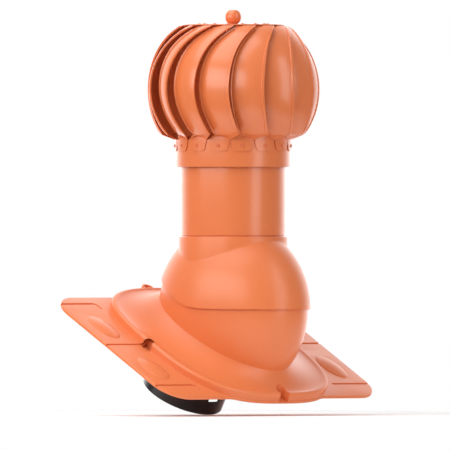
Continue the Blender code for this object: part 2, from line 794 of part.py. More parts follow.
def build_blades(material, rivet_material, parent):
    """Fifteen blades with their lower and upper rivets."""
    disc_top = DISC_FOOT + DISC_THICK
    upper_middle = lip_sweep(BLADE_TOP) - (BLADE_LAG - BLADE_LAG_TOP) / 2
    for index in range(BLADE_COUNT):
        turn = BLADE_PHASE + 2.0 * math.pi * index / BLADE_COUNT
        number = f"{index + 1:02d}"
        name = f"blade_{number}"
        add_object(name, blade_mesh(name, turn), material, parent)
        out = Vector((math.cos(turn + TAB_ANGLE), math.sin(turn + TAB_ANGLE), 0.0))
        face = TAB_RADIUS + BLADE_THICK / 2 + GAP
        place = BALL_CENTRE + out * face + Vector((0.0, 0.0, RIVET_HEIGHT))
        name = f"lower_rivet_{number}"
        add_object(name, rivet_mesh(name, place, out), rivet_material, parent)
        angle = turn + upper_middle
        place = BALL_CENTRE + Vector((
            UPPER_RIVET_CIRCLE * math.cos(angle), UPPER_RIVET_CIRCLE * math.sin(angle),
            disc_top + GAP))
        name = f"upper_rivet_{number}"
        add_object(name, rivet_mesh(name, place, Vector((0.0, 0.0, 1.0))), rivet_material, parent)


def build_turbine_rest(material, steel, parent):
    """Ring, top disc, knob and spindle."""
    profile = tube_profile(RING_RADIUS, RING_WALL, RING_FOOT, RING_TOP)
    ring = turned_mesh("turbine_ring", profile, RING_SIDES, BALL_CENTRE)
    add_object("turbine_ring", ring, material, parent)
    disc_top = DISC_FOOT + DISC_THICK
    disc = turned_mesh(
        "top_disc", [(DISC_RADIUS, DISC_FOOT), (DISC_RADIUS, disc_top)], 48, BALL_CENTRE, closed=False)
    add_object("top_disc", disc, material, parent)
    foot = disc_top + GAP
    middle = foot + KNOB_STEM + math.sqrt(KNOB_RADIUS ** 2 - KNOB_NECK ** 2)
    knob_profile = [(KNOB_NECK, foot), (KNOB_NECK, foot + KNOB_STEM)]
    start = -math.acos(KNOB_NECK / KNOB_RADIUS)
    end = math.asin((KNOB_RADIUS - KNOB_FLAT) / KNOB_RADIUS)
    for step in range(1, 8):
        angle = lerp(start, end, step / 7)
        knob_profile.append((KNOB_RADIUS * math.cos(angle), middle + KNOB_RADIUS * math.sin(angle)))
    knob = turned_mesh("top_knob", knob_profile, 20, BALL_CENTRE, closed=False)
    add_object("top_knob", knob, material, parent)
    spindle_profile = [(SPINDLE_RADIUS, HUB_FOOT - SPINDLE_TAIL), (SPINDLE_RADIUS, DISC_FOOT - GAP)]
    spindle = turned_mesh("spindle", spindle_profile, 16, BALL_CENTRE, closed=False)
    add_object("spindle", spindle, steel, parent)


def add_axis(name):
    """Empty on a joint's axis."""
    empty = bpy.data.objects.new(name, None)
    bpy.context.scene.collection.objects.link(empty)
    empty.location = BALL_CENTRE
    return empty


def build():
    """Build the whole cowl."""
    clear_scene()
    orange = (0.80, 0.20, 0.066)
    moulding = make_material("terracotta_moulding", orange, 0.42, 0.0)
    coated = make_material("terracotta_coated_metal", orange, 0.34, 0.0)
    black = make_material("black_plastic", (0.012, 0.012, 0.013), 0.28, 0.0)
    rivet = make_material("coated_rivet", (0.74, 0.17, 0.055), 0.38, 0.0)
    steel = make_material("plated_steel", (0.55, 0.55, 0.56), 0.35, 1.0)
    tilt_axis = add_axis("hood_tilt_axis")
    spin_axis = add_axis("turbine_spin_axis")
    build_base(moulding, None)
    build_spigot(black, None)
    build_hood(moulding, tilt_axis)
    build_pipe(coated, tilt_axis)
    build_bridge(steel, tilt_axis)
    build_blades(coated, rivet, spin_axis)
    build_turbine_rest(coated, steel, spin_axis)


build()
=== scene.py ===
"""Looks of a rotating chimney cowl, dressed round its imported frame.

Sizes are metres in the frame's own axes: +Z up along the pipe, +X along the
roof and +Y up the slope. "Slope" coordinates are across, downslope and height
above the base plate's top face.
"""
from __future__ import annotations

import logging
import math
from dataclasses import dataclass, field
from enum import Enum
from typing import Callable, Iterable, Sequence

import bmesh
import bpy
from mathutils import Matrix, Vector

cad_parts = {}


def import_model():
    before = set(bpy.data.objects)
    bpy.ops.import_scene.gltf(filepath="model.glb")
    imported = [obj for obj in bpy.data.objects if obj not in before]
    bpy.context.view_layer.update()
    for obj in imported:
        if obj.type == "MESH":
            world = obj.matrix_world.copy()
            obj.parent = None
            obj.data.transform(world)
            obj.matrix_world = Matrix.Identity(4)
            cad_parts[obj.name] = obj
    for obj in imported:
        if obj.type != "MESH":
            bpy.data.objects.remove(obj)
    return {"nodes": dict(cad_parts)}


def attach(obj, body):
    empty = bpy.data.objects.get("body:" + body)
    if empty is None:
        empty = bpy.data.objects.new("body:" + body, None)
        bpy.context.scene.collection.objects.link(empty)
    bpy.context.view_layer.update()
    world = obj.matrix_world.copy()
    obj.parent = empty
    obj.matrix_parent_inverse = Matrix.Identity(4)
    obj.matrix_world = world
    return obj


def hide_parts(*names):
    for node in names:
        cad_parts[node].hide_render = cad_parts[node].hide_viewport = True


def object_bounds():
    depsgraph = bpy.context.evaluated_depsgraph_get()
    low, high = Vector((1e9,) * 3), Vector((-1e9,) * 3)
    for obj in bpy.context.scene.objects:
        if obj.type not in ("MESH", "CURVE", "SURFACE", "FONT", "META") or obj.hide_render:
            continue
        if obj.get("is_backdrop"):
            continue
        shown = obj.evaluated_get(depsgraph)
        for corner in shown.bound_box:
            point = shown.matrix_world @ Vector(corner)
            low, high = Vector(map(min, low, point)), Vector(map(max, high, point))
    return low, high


LOG = logging.getLogger("cowl")
FULL_TURN = 2.0 * math.pi
HALF_TURN = math.pi
QUARTER_TURN = math.pi / 2
RISE = Vector((0.0, 0.0, 1.0))
CRISP_EDGE = 32.0                      # degrees from which an edge stays crisp
ROUNDING_STEPS = 4

Ring = list[Vector]
Section = list[tuple[float, float]]
Colour = tuple[float, float, float]
Mesh = bpy.types.Mesh


class Body(Enum):
    """Rigid bodies of the cowl."""

    BASE = "base"
    UPPER = "upper"
    TURBINE = "turbine"


class Slot(Enum):
    """Material slots of the record."""

    MOULDING = "moulding"
    COATED = "coated_metal"
    BLACK = "black_plastic"
    RIVET = "rivet"


# Small helpers


def lerp(a: float, b: float, t: float) -> float:
    """Value at share t between a and b."""
    return a + (b - a) * t


def smooth_step(low: float, high: float, value: float) -> float:
    """Soft step from 0 at low to 1 at high."""
    t = min(max((value - low) / (high - low), 0.0), 1.0)
    return t * t * (3.0 - 2.0 * t)


def turn_angles(count: int) -> list[float]:
    """Evenly spaced angles round a full turn."""
    return [FULL_TURN * i / count for i in range(count)]


def arc(start: float, end: float, steps: int) -> Section:
    """Cosine and sine of evenly spaced angles from start to end, both included."""
    angles = [lerp(start, end, i / steps) for i in range(steps + 1)]
    return [(math.cos(a), math.sin(a)) for a in angles]


def on_circle(radius: float, angle: float, height: float = 0.0) -> Vector:
    """Point at a radius and an angle round the vertical, at a height."""
    return Vector((radius * math.cos(angle), radius * math.sin(angle), height))


def bend(start: Vector, corner: Vector, end: Vector, t: float) -> Vector:
    """Point at share t of a curve from start to end that leans towards corner."""
    return start * (1 - t) ** 2 + corner * 2 * t * (1 - t) + end * t ** 2


def superellipse_radius(angle: float, half_a: float, half_b: float, power: float = 2.0) -> float:
    """Distance from the middle to a superellipse.

    Args:
        angle: Direction from the middle.
        half_a: Half size across.
        half_b: Half size along.
        power: 2 for an ellipse, more for a squarer form.

    Returns:
        The distance in that direction.
    """
    a = abs(math.cos(angle) / half_a) ** power
    b = abs(math.sin(angle) / half_b) ** power
    return (a + b) ** (-1.0 / power)


def rounded_profile(points: Section, radius: float) -> Section:
    """Round the corners of a closed section.

    Args:
        points: Corners of the section, in order.
        radius: Largest radius, cut back where a side is short.

    Returns:
        The rounded section.
    """
    corners = [Vector(point) for point in points]
    result: Section = []
    for i, corner in enumerate(corners):
        back = corners[i - 1] - corner
        ahead = corners[(i + 1) % len(corners)] - corner
        reach = min(radius, 0.45 * back.length, 0.45 * ahead.length)
        start = corner + back.normalized() * reach
        end = corner + ahead.normalized() * reach
        for step in range(ROUNDING_STEPS + 1):
            result.append(tuple(bend(start, corner, end, step / ROUNDING_STEPS)))
    return result


def close_mesh(name: str, bm: bmesh.types.BMesh) -> Mesh:
    """Turn a closed bmesh into a mesh with its faces pointing out."""
    bmesh.ops.recalc_face_normals(bm, faces=bm.faces[:])
    mesh = bpy.data.meshes.new(name)
    bm.to_mesh(mesh)
    bm.free()
    return mesh


def loft(name: str, rings: Sequence[Ring], closed: bool = False) -> Mesh:
    """Skin equal rings of points.

    Args:
        name: Mesh name.
        rings: Rings of equal length, in order along the skin.
        closed: Whether the last ring joins the first; if not, both ends are capped.

    Returns:
        A closed mesh.
    """
    bm = bmesh.new()
    loops = [[bm.verts.new(point) for point in ring] for ring in rings]
    pairs = list(zip(loops, loops[1:]))
    if closed:
        pairs.append((loops[-1], loops[0]))
    for low, high in pairs:
        for i in range(len(low)):
            j = (i + 1) % len(low)
            bm.faces.new((low[i], low[j], high[j], high[i]))
    if not closed:
        bm.faces.new(loops[0])
        bm.faces.new(loops[-1])
    return close_mesh(name, bm)


def turned(name: str, profile: Section, sides: int, centre: Vector, closed: bool = True) -> Mesh:
    """Turn a section of (radius, height) pairs round the vertical through centre."""
    rings = [[centre + on_circle(r, a, h) for a in turn_angles(sides)] for r, h in profile]
    return loft(name, rings, closed)


def add_object(name: str, data: bpy.types.ID) -> bpy.types.Object:
    """Put a mesh, light or camera in the scene as a new object."""
    obj = bpy.data.objects.new(name, data)
    bpy.context.scene.collection.objects.link(obj)
    return obj


def show(mesh: Mesh, material: bpy.types.Material, sharp: float = CRISP_EDGE) -> bpy.types.Object:
    """Put a mesh in the scene.

    Args:
        mesh: The finished mesh.
        material: Its finish.
        sharp: Edges sharper than this many degrees stay crisp.

    Returns:
        The new object.
    """
    mesh.shade_smooth()
    mesh.set_sharp_from_angle(angle=math.radians(sharp))
    mesh.materials.append(material)
    return add_object(mesh.name, mesh)


def settle(obj: bpy.types.Object, body: Body, node: str) -> None:
    """Make a piece ride on its body and stand for its CAD node."""
    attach(obj, body.value)
    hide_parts(node)
    LOG.info("%s rides on %s", obj.name, body.value)


def cut(obj: bpy.types.Object, tools: Sequence[Mesh], operation: str) -> None:
    """Join tools to an object or cut them from it, one after another, then drop them."""
    helpers = []
    for mesh in tools:
        helpers.append(add_object(mesh.name, mesh))
        modifier = obj.modifiers.new(mesh.name, "BOOLEAN")
        modifier.operation = operation
        modifier.object = helpers[-1]
        modifier.solver = "EXACT"
    old = obj.data
    made = bpy.data.meshes.new_from_object(obj.evaluated_get(bpy.context.evaluated_depsgraph_get()))
    obj.modifiers.clear()
    obj.data = made
    made.name = old.name
    bpy.data.meshes.remove(old)
    for helper in helpers:
        mesh = helper.data
        bpy.data.objects.remove(helper, do_unlink=True)
        bpy.data.meshes.remove(mesh)


def carve(obj: bpy.types.Object, fillers: Sequence[Mesh], cutters: Sequence[Mesh]) -> None:
    """Join the fillers, cut with the cutters and mark the crisp edges again."""
    for tools, operation in ((fillers, "UNION"), (cutters, "DIFFERENCE")):
        if tools:
            cut(obj, tools, operation)
    obj.data.set_sharp_from_angle(angle=math.radians(CRISP_EDGE))


# Places shared by every sub-assembly


@dataclass(frozen=True)
class RoofFrame:
    """Directions and main places on the pitched roof."""

    pitch: float = math.radians(30.0)
    plate_thick: float = 0.0045
    ball_height: float = 0.0660
    gap: float = 0.0003

    @property
    def across(self) -> Vector:
        """Along the roof."""
        return Vector((1.0, 0.0, 0.0))

    @property
    def down(self) -> Vector:
        """Down the slope."""
        return Vector((0.0, -math.cos(self.pitch), -math.sin(self.pitch)))

    @property
    def up(self) -> Vector:
        """Square to the roof."""
        return Vector((0.0, -math.sin(self.pitch), math.cos(self.pitch)))

    @property
    def ball_centre(self) -> Vector:
        """Centre of the ball joint."""
        return self.up * (self.ball_height + self.plate_thick)

    def point(self, across: float, down: float, height: float) -> Vector:
        """World place of a point in slope coordinates."""
        return self.across * across + self.down * down + self.up * (height + self.plate_thick)

    def around(self, radius: float, angle: float, height: float, shift: float = 0.0) -> Vector:
        """World place at a radius and an angle round a middle that is shifted down the slope."""
        return self.point(radius * math.cos(angle), radius * math.sin(angle) + shift, height)

    def box(self, name: str, size: Vector, down: float, height: float) -> Mesh:
        """Box with its sides along the slope's own axes, centred across.

        Args:
            name: Mesh name.
            size: Size across, down and up.
            down: Middle down the slope.
            height: Middle above the plate.

        Returns:
            A closed mesh.
        """
        turn = Matrix((self.across, self.down, self.up)).transposed().to_4x4()
        matrix = Matrix.Translation(self.point(0.0, down, height)) @ turn
        bm = bmesh.new()
        bmesh.ops.create_cube(bm, size=1.0, matrix=matrix @ Matrix.Diagonal((*size, 1.0)))
        return close_mesh(name, bm)


# Shader nodes

Inputs = dict[str | int, object]
FLOAT = "NodeSocketFloat"
COLOUR = "NodeSocketColor"


class Graph:
    """Small helper that adds and links shader nodes."""

    def __init__(self, tree: bpy.types.NodeTree) -> None:
        """Hold the tree that nodes are added to."""
        self.tree = tree

    def feed(self, node: bpy.types.Node, inputs: Inputs) -> None:
        """Give each input of a node its constant, or the socket that feeds it."""
        for key, value in inputs.items():
            if isinstance(value, bpy.types.NodeSocket):
                self.tree.links.new(value, node.inputs[key])
            else:
                node.inputs[key].default_value = value

    def node(self, kind: str, inputs: Inputs | None = None, **settings: object) -> bpy.types.Node:
        """Add a node.

        Args:
            kind: Blender's node type without its "ShaderNode".
            inputs: Constants or feeding sockets, by input.
            settings: Attributes of the node.

        Returns:
            The new node.
        """
        node = self.tree.nodes.new(f"ShaderNode{kind}")
        for key, value in settings.items():
            setattr(node, key, value)
        self.feed(node, inputs or {})
        return node

    def maths(self, operation: str, first: object, second: object) -> bpy.types.NodeSocket:
        """Math node of two sockets or numbers; gives its output."""
        return self.node("Math", {0: first, 1: second}, operation=operation).outputs[0]

    def blend(self, share: object, first: object, second: object) -> bpy.types.NodeSocket:
        """Colour mix of two sockets or colours; gives its output."""
        return self.node("Mix", {0: share, 6: first, 7: second}, data_type="RGBA").outputs[2]


class Group(Graph):
    """Shader node group."""

    def __init__(self, name: str, inputs: dict[str, float | tuple], outputs: dict[str, str]) -> None:
        """Start the group.

        Args:
            name: Group name.
            inputs: Value of each input, a number or a colour.
            outputs: Socket type of each output.
        """
        super().__init__(bpy.data.node_groups.new(name, "ShaderNodeTree"))
        sockets = self.tree.interface
        for label, value in inputs.items():
            kind = COLOUR if isinstance(value, tuple) else FLOAT
            sockets.new_socket(label, in_out="INPUT", socket_type=kind).default_value = value
        for label, kind in outputs.items():
            sockets.new_socket(label, in_out="OUTPUT", socket_type=kind)
        self.given = self.tree.nodes.new("NodeGroupInput").outputs
        self.result = self.tree.nodes.new("NodeGroupOutput")


def surface_grain_group() -> bpy.types.NodeTree:
    """Fine relief of a moulded or sprayed surface: pebbles over slow waves."""
    group = Group("Surface grain", {"Grain Scale": 900.0, "Wave Scale": 60.0, "Wave Share": 0.4},
                  {"Height": FLOAT, "Mask": FLOAT})
    place = group.node("TexCoord").outputs["Object"]
    share = group.given["Wave Share"]
    pebbles = group.node("TexVoronoi", {
        "Vector": place, "Scale": group.given["Grain Scale"], "Smoothness": 0.6}, feature="SMOOTH_F1")
    waves = group.node("TexNoise", {"Vector": place, "Scale": group.given["Wave Scale"], "Detail": 3.0})
    speckle = group.node("TexNoise", {"Vector": place, "Scale": 240.0, "Detail": 5.0})
    wave_part = group.maths("MULTIPLY", waves.outputs["Fac"], share)
    grain_part = group.maths("MULTIPLY", pebbles.outputs["Distance"], group.maths("SUBTRACT", 1.0, share))
    group.feed(group.result, {
        "Height": group.maths("ADD", wave_part, grain_part), "Mask": speckle.outputs["Fac"]})
    return group.tree


def colour_drift_group() -> bpy.types.NodeTree:
    """Slow drift of a pigment between a paler and a deeper tone."""
    group = Group("Colour drift", {
        "Colour": (0.8, 0.2, 0.1, 1.0), "Deep Colour": (0.6, 0.1, 0.05, 1.0), "Amount": 0.2, "Scale": 14.0,
    }, {"Colour": COLOUR, "Drift": FLOAT})
    clouds = group.node("TexNoise", {
        "Vector": group.node("TexCoord").outputs["Object"], "Scale": group.given["Scale"],
        "Detail": 4.0, "Distortion": 0.3,
    }).outputs["Fac"]
    share = group.maths("MULTIPLY", clouds, group.given["Amount"])
    mixed = group.blend(share, group.given["Colour"], group.given["Deep Colour"])
    group.feed(group.result, {"Colour": mixed, "Drift": clouds})
    return group.tree


def settled_dust_group() -> bpy.types.NodeTree:
    """Thin pale dust on faces that look up, broken by fine noise."""
    group = Group("Settled dust", {
        "Colour": (0.8, 0.2, 0.1, 1.0), "Dust Colour": (0.75, 0.68, 0.62, 1.0), "Amount": 0.05,
        "Roughness": 0.4,
    }, {"Colour": COLOUR, "Roughness": FLOAT})
    given = group.given
    split = group.node("SeparateXYZ", {0: group.node("NewGeometry").outputs["Normal"]})
    upward = group.maths("MAXIMUM", split.outputs["Z"], 0.0)
    specks = group.node("TexNoise", {
        "Vector": group.node("TexCoord").outputs["Object"], "Scale": 130.0, "Detail": 6.0})
    broken = group.maths("MULTIPLY", upward, specks.outputs["Fac"])
    share = group.maths("MULTIPLY", broken, given["Amount"])
    group.feed(group.result, {
        "Colour": group.blend(share, given["Colour"], given["Dust Colour"]),
        "Roughness": group.maths("ADD", given["Roughness"], share)})
    return group.tree


@dataclass
class GroupSet:
    """Node groups that all finishes share."""

    grain: bpy.types.NodeTree = field(default_factory=surface_grain_group)
    drift: bpy.types.NodeTree = field(default_factory=colour_drift_group)
    dust: bpy.types.NodeTree = field(default_factory=settled_dust_group)


@dataclass(frozen=True)
class Finish:
    """Finish of one kind of surface."""

    name: str
    colour: Colour
    deep_colour: Colour
    drift: float
    roughness: float
    roughness_spread: float
    grain_scale: float
    wave_scale: float
    wave_share: float
    relief: float = 0.00003
    dust: float = 0.04
    metallic: float = 0.0
    ior: float = 1.5
    coat: float = 0.0
    coat_roughness: float = 0.1

    def build(self, groups: GroupSet) -> bpy.types.Material:
        """Make the material from the shared groups.

        Args:
            groups: The shared node groups.

        Returns:
            The finished material.
        """
        material = bpy.data.materials.new(self.name)
        material.use_nodes = True
        graph = Graph(material.node_tree)
        grain = graph.node("Group", node_tree=groups.grain)
        graph.feed(grain, {
            "Grain Scale": self.grain_scale, "Wave Scale": self.wave_scale, "Wave Share": self.wave_share})
        drift = graph.node("Group", node_tree=groups.drift)
        graph.feed(drift, {
            "Colour": (*self.colour, 1.0), "Deep Colour": (*self.deep_colour, 1.0), "Amount": self.drift})
        spread = graph.maths("MULTIPLY", grain.outputs["Mask"], self.roughness_spread)
        dust = graph.node("Group", node_tree=groups.dust)
        graph.feed(dust, {
            "Amount": self.dust, "Colour": drift.outputs["Colour"],
            "Roughness": graph.maths("ADD", spread, self.roughness)})
        bump = graph.node("Bump", {
            "Strength": 1.0, "Distance": self.relief, "Height": grain.outputs["Height"]})
        graph.feed(material.node_tree.nodes["Principled BSDF"], {
            "Metallic": self.metallic, "IOR": self.ior, "Coat Weight": self.coat,
            "Coat Roughness": self.coat_roughness, "Base Color": dust.outputs["Colour"],
            "Roughness": dust.outputs["Roughness"], "Normal": bump.outputs["Normal"]})
        return material


TERRACOTTA = (0.78, 0.200, 0.064)
DEEP_TERRACOTTA = (0.62, 0.128, 0.036)


class Finishes:
    """All materials of the cowl."""

    def __init__(self) -> None:
        """Build every material once."""
        groups = GroupSet()
        self.moulding = Finish(
            "terracotta moulding", TERRACOTTA, DEEP_TERRACOTTA, drift=0.16, roughness=0.31,
            roughness_spread=0.06, grain_scale=1500.0, wave_scale=45.0, wave_share=0.35,
            relief=0.00004).build(groups)
        self.coated = Finish(
            "terracotta coated metal", TERRACOTTA, DEEP_TERRACOTTA, drift=0.12, roughness=0.27,
            roughness_spread=0.05, grain_scale=1100.0, wave_scale=260.0, wave_share=0.75,
            coat=0.25, coat_roughness=0.18).build(groups)
        self.rivet = Finish(
            "coated rivet", (0.74, 0.165, 0.052), DEEP_TERRACOTTA, drift=0.2, roughness=0.32,
            roughness_spread=0.08, grain_scale=1800.0, wave_scale=500.0, wave_share=0.5).build(groups)
        self.black = Finish(
            "black plastic", (0.010, 0.010, 0.011), (0.02, 0.02, 0.021), drift=0.5, roughness=0.17,
            roughness_spread=0.07, grain_scale=1700.0, wave_scale=80.0, wave_share=0.6,
            dust=0.02).build(groups)
        self.steel = Finish(
            "plated steel", (0.56, 0.56, 0.57), (0.42, 0.42, 0.43), drift=0.4, roughness=0.3,
            roughness_spread=0.12, grain_scale=900.0, wave_scale=140.0, wave_share=0.6,
            metallic=1.0).build(groups)


# Sub-assemblies


@dataclass
class BaseMoulding:
    """Base plate with its raised seat and the lower half of the ball."""

    roof: RoofFrame
    width: float = 0.461
    down_length: float = 0.1495
    up_length: float = 0.1530
    corner: float = 0.045
    edge_round: float = 0.0013
    under_edge: float = 0.0004
    wall: float = 0.003
    groove_width: float = 0.0046
    groove_depth: float = 0.0032
    groove_start: float = 0.150
    groove_bend: float = 0.006
    groove_run: float = 0.010
    groove_pitch: float = 0.1230
    groove_shift: float = -0.0102
    cutter_lid: float = 0.002              # how far the groove's cutter stands above the plate
    cutter_reach: float = 0.004            # how far a cutter runs past the outline
    pad_across: float = 0.193
    pad_along: float = 0.062
    pad_length: float = 0.070
    pad_width: float = 0.041
    pad_height: float = 0.0045
    pad_steps: int = 12
    seat_across: float = 0.1546
    seat_along: float = 0.1623
    seat_squareness: float = 3.0
    seat_lip: float = 0.0015
    seat_foot: float = 0.0007
    wall_height: float = 0.0085
    bead_height: float = 0.0125
    bead_share: float = 0.08               # of the way to the ball
    valley_height: float = 0.0115
    valley_share: float = 0.20
    seat_top: float = 0.0322
    seat_swell: float = 1.9                # more for a seat that rises later
    notch_width: float = 0.0195
    notch_floor: float = -0.0018
    side_notch: tuple[float, float] = (0.0095, 0.0150)
    front_notch: tuple[float, float] = (0.0215, 0.0235)
    notch_wall: float = 0.0020
    notch_setback: float = 0.0018
    notch_skin: float = 0.0014
    eye_reach: float = 0.1765
    eye_root: float = 0.1605
    eye_radius: float = 0.0105
    eye_bore: float = 0.0072
    eye_height: float = 0.0040
    eye_edge: float = 0.0006
    ball_across: float = 0.0950
    ball_round: float = 0.1307
    mouth_angle: float = math.radians(37.0)
    spigot_bore: float = 0.0650
    spigot_upslope: float = 0.031
    spigot_grip: float = 0.012
    steps: tuple[int, int, int, int] = (10, 10, 9, 12)
    ball_steps: int = 26
    seat_steps: int = 22

    def quarter(self, half_b: float) -> list[float]:
        """Angles over a quarter turn, with one at each end of the plate's corner arc."""
        half_a = self.width / 2
        rest = 1.0 - (half_b / self.seat_along) ** self.seat_squareness
        meet = self.seat_across * rest ** (1.0 / self.seat_squareness)
        stops = (
            0.0,
            math.atan2(half_b - self.corner, half_a),
            math.atan2(half_b, half_a - self.corner),
            math.atan2(half_b, meet),
            QUARTER_TURN,
        )
        angles: list[float] = []
        for start, end, steps in zip(stops, stops[1:], self.steps):
            angles += [lerp(start, end, i / steps) for i in range(steps)]
        return angles

    def angles(self) -> list[float]:
        """Angles of the rings, the downslope half first."""
        angles: list[float] = []
        for turn, half_b in ((0.0, self.down_length), (HALF_TURN, self.up_length)):
            quarter = self.quarter(half_b)
            half = quarter + [QUARTER_TURN] + [HALF_TURN - a for a in reversed(quarter[1:])]
            angles += [a + turn for a in half]
        return angles

    def plate_radius(self, angle: float) -> float:
        """Distance from the middle to the rounded plate's edge."""
        half_a = self.width / 2
        half_b = self.down_length if math.sin(angle) > 0 else self.up_length
        c = abs(math.cos(angle))
        s = abs(math.sin(angle))
        reach = min(half_a / max(c, 1e-9), half_b / max(s, 1e-9))
        core_a = half_a - self.corner
        core_b = half_b - self.corner
        if reach * c > core_a and reach * s > core_b:
            middle = core_a * c + core_b * s
            rest = core_a ** 2 + core_b ** 2 - self.corner ** 2
            reach = middle + math.sqrt(max(middle ** 2 - rest, 0.0))
        return reach

    def seat_radius(self, angle: float) -> float:
        """Distance from the middle to the seat's outline."""
        return superellipse_radius(angle, self.seat_across, self.seat_along, self.seat_squareness)

    def junction(self, shrink: float = 0.0) -> tuple[float, float]:
        """Half sizes of the ball's section where the seat meets it."""
        below = self.roof.ball_height - self.seat_top
        share = math.sqrt(1.0 - (below / (self.ball_round - shrink)) ** 2)
        return (self.ball_across - shrink) * share, (self.ball_round - shrink) * share

    def ring(self, reach: Callable[[float], float], height: float, shift: float = 0.0) -> Ring:
        """Ring of points, each at the reach that its own direction has.

        Args:
            reach: Distance from the middle, by angle.
            height: Height above the plate.
            shift: How far down the slope the middle lies.

        Returns:
            The ring's points.
        """
        return [self.roof.around(reach(a), a, height, shift) for a in self.angles()]

    def plate_ring(self, height: float, inset: float) -> Ring:
        """Outline of plate and seat together, at a height."""
        return self.ring(
            lambda a: max(self.plate_radius(a), self.seat_radius(a) + self.seat_lip) - inset, height)

    def seat_ring(self, share: float, height: float, foot: float = 0.0) -> Ring:
        """Ring at a share of the way from the seat's outline to the ball.

        Args:
            share: 0 at the outline and 1 at the ball.
            height: Height above the plate.
            foot: How far the ring stands out from the outline.

        Returns:
            The ring's points.
        """
        ball = self.junction()
        return self.ring(
            lambda a: lerp(self.seat_radius(a), superellipse_radius(a, *ball), share) + foot, height)

    def spigot_ring(self, radius: float, height: float) -> Ring:
        """Ring round the spigot's axis."""
        return self.ring(lambda _: radius, height, -self.spigot_upslope)

    def seat_height(self, share: float) -> float:
        """Height of the seat's top, from its bead over the valley to the ball."""
        if share < self.bead_share:
            turn = math.sqrt(max(1.0 - ((self.bead_share - share) / self.bead_share) ** 2, 0.0))
            return lerp(self.wall_height, self.bead_height, turn)
        if share < self.valley_share:
            drop = smooth_step(self.bead_share, self.valley_share, share)
            return lerp(self.bead_height, self.valley_height, drop)
        run = (share - self.valley_share) / (1.0 - self.valley_share)
        return lerp(self.valley_height, self.seat_top, run ** self.seat_swell)

    def ball_rings(self, shrink: float) -> list[Ring]:
        """Rings over the ball from its seat up to the level mouth."""
        across = self.ball_across - shrink
        radius = self.ball_round - shrink
        low = -(self.roof.ball_height - self.seat_top) / radius
        high = math.sin(self.mouth_angle) * self.ball_round / radius
        rings: list[Ring] = [[] for _ in range(self.ball_steps)]
        for angle in self.angles():
            start = self.ball_direction(angle, low, self.roof.down, self.roof.up)
            end = self.ball_direction(angle, high, Vector((0.0, -1.0, 0.0)), RISE)
            for step, ring in enumerate(rings, start=1):
                unit = start.slerp(end, step / self.ball_steps)
                place = Vector((unit.x * across, unit.y * radius, unit.z * radius))
                ring.append(self.roof.ball_centre + place)
        return rings

    def ball_direction(self, angle: float, height: float, down: Vector, up: Vector) -> Vector:
        """Unit vector at a height along up, turned by an angle from across to down."""
        squeezed = math.atan2(math.sin(angle) / self.ball_round, math.cos(angle) / self.ball_across)
        flat = math.sqrt(1.0 - height ** 2)
        level = self.roof.across * math.cos(squeezed) + down * math.sin(squeezed)
        return level * flat + up * height

    def rings(self) -> list[Ring]:
        """All rings of the moulding, round its section."""
        under = -self.roof.plate_thick
        edge = self.edge_round
        foot = self.seat_foot
        turn = arc(0.0, QUARTER_TURN, 4)
        rings = [self.plate_ring(under, self.under_edge), self.plate_ring(under + self.under_edge, 0.0)]
        rings += [self.plate_ring(-edge * (1.0 - s), edge * (1.0 - c)) for c, s in turn]
        rings.append(self.seat_ring(0.0, 0.0, foot * 0.95))
        rings += [self.seat_ring(0.0, foot * (1.0 - c), foot * (1.0 - s)) for c, s in turn[1:]]
        rings.append(self.seat_ring(0.0, self.wall_height * 0.6))
        shares = [0.0, 0.004, 0.012, 0.024, 0.04, 0.06, 0.08, 0.10, 0.12, 0.14, 0.17, 0.20]
        shares += [lerp(self.valley_share, 1.0, i / self.seat_steps) for i in range(1, self.seat_steps + 1)]
        rings += [self.seat_ring(s, self.seat_height(s)) for s in shares]
        rings += self.ball_rings(0.0)
        rings += list(reversed(self.ball_rings(self.wall)))[::3]
        inner = self.junction(self.wall)
        rings.append(self.ring(lambda a: superellipse_radius(a, *inner), self.seat_top))
        boss = self.spigot_bore + self.wall
        rings += [
            self.spigot_ring(self.spigot_bore, self.spigot_grip + self.roof.gap),
            self.spigot_ring(self.spigot_bore, under),
            self.spigot_ring(boss, under),
            self.spigot_ring(boss, self.spigot_grip - self.wall),
        ]
        for share, walls in ((0.97, 1.6), (0.80, 1.0), (0.60, 1.0), (0.35, 1.0)):
            rings.append(self.seat_ring(share, self.seat_height(share) - walls * self.wall))
        rings.append(self.seat_ring(0.10, self.wall_height - self.wall * 0.6))
        rings.append(self.seat_ring(0.07, under))
        return rings

    def pads(self) -> list[Mesh]:
        """Low oval bumps on the wings, with a soft shoulder."""
        section = [(1.03, -self.roof.plate_thick / 2)]
        for step in range(1, self.pad_steps + 1):
            share = 1.0 - 0.97 * step / self.pad_steps
            section.append((share, self.pad_height * math.cos(QUARTER_TURN * share) ** 0.8))
        meshes = []
        for side in (-1, 1):
            for end in (-1, 1):
                rings = [
                    [
                        self.roof.point(
                            side * self.pad_across + share * self.pad_width / 2 * math.cos(a),
                            end * self.pad_along + share * self.pad_length / 2 * math.sin(a),
                            height)
                        for a in turn_angles(56)
                    ]
                    for share, height in section
                ]
                meshes.append(loft(f"pad_{side}_{end}", rings))
        return meshes

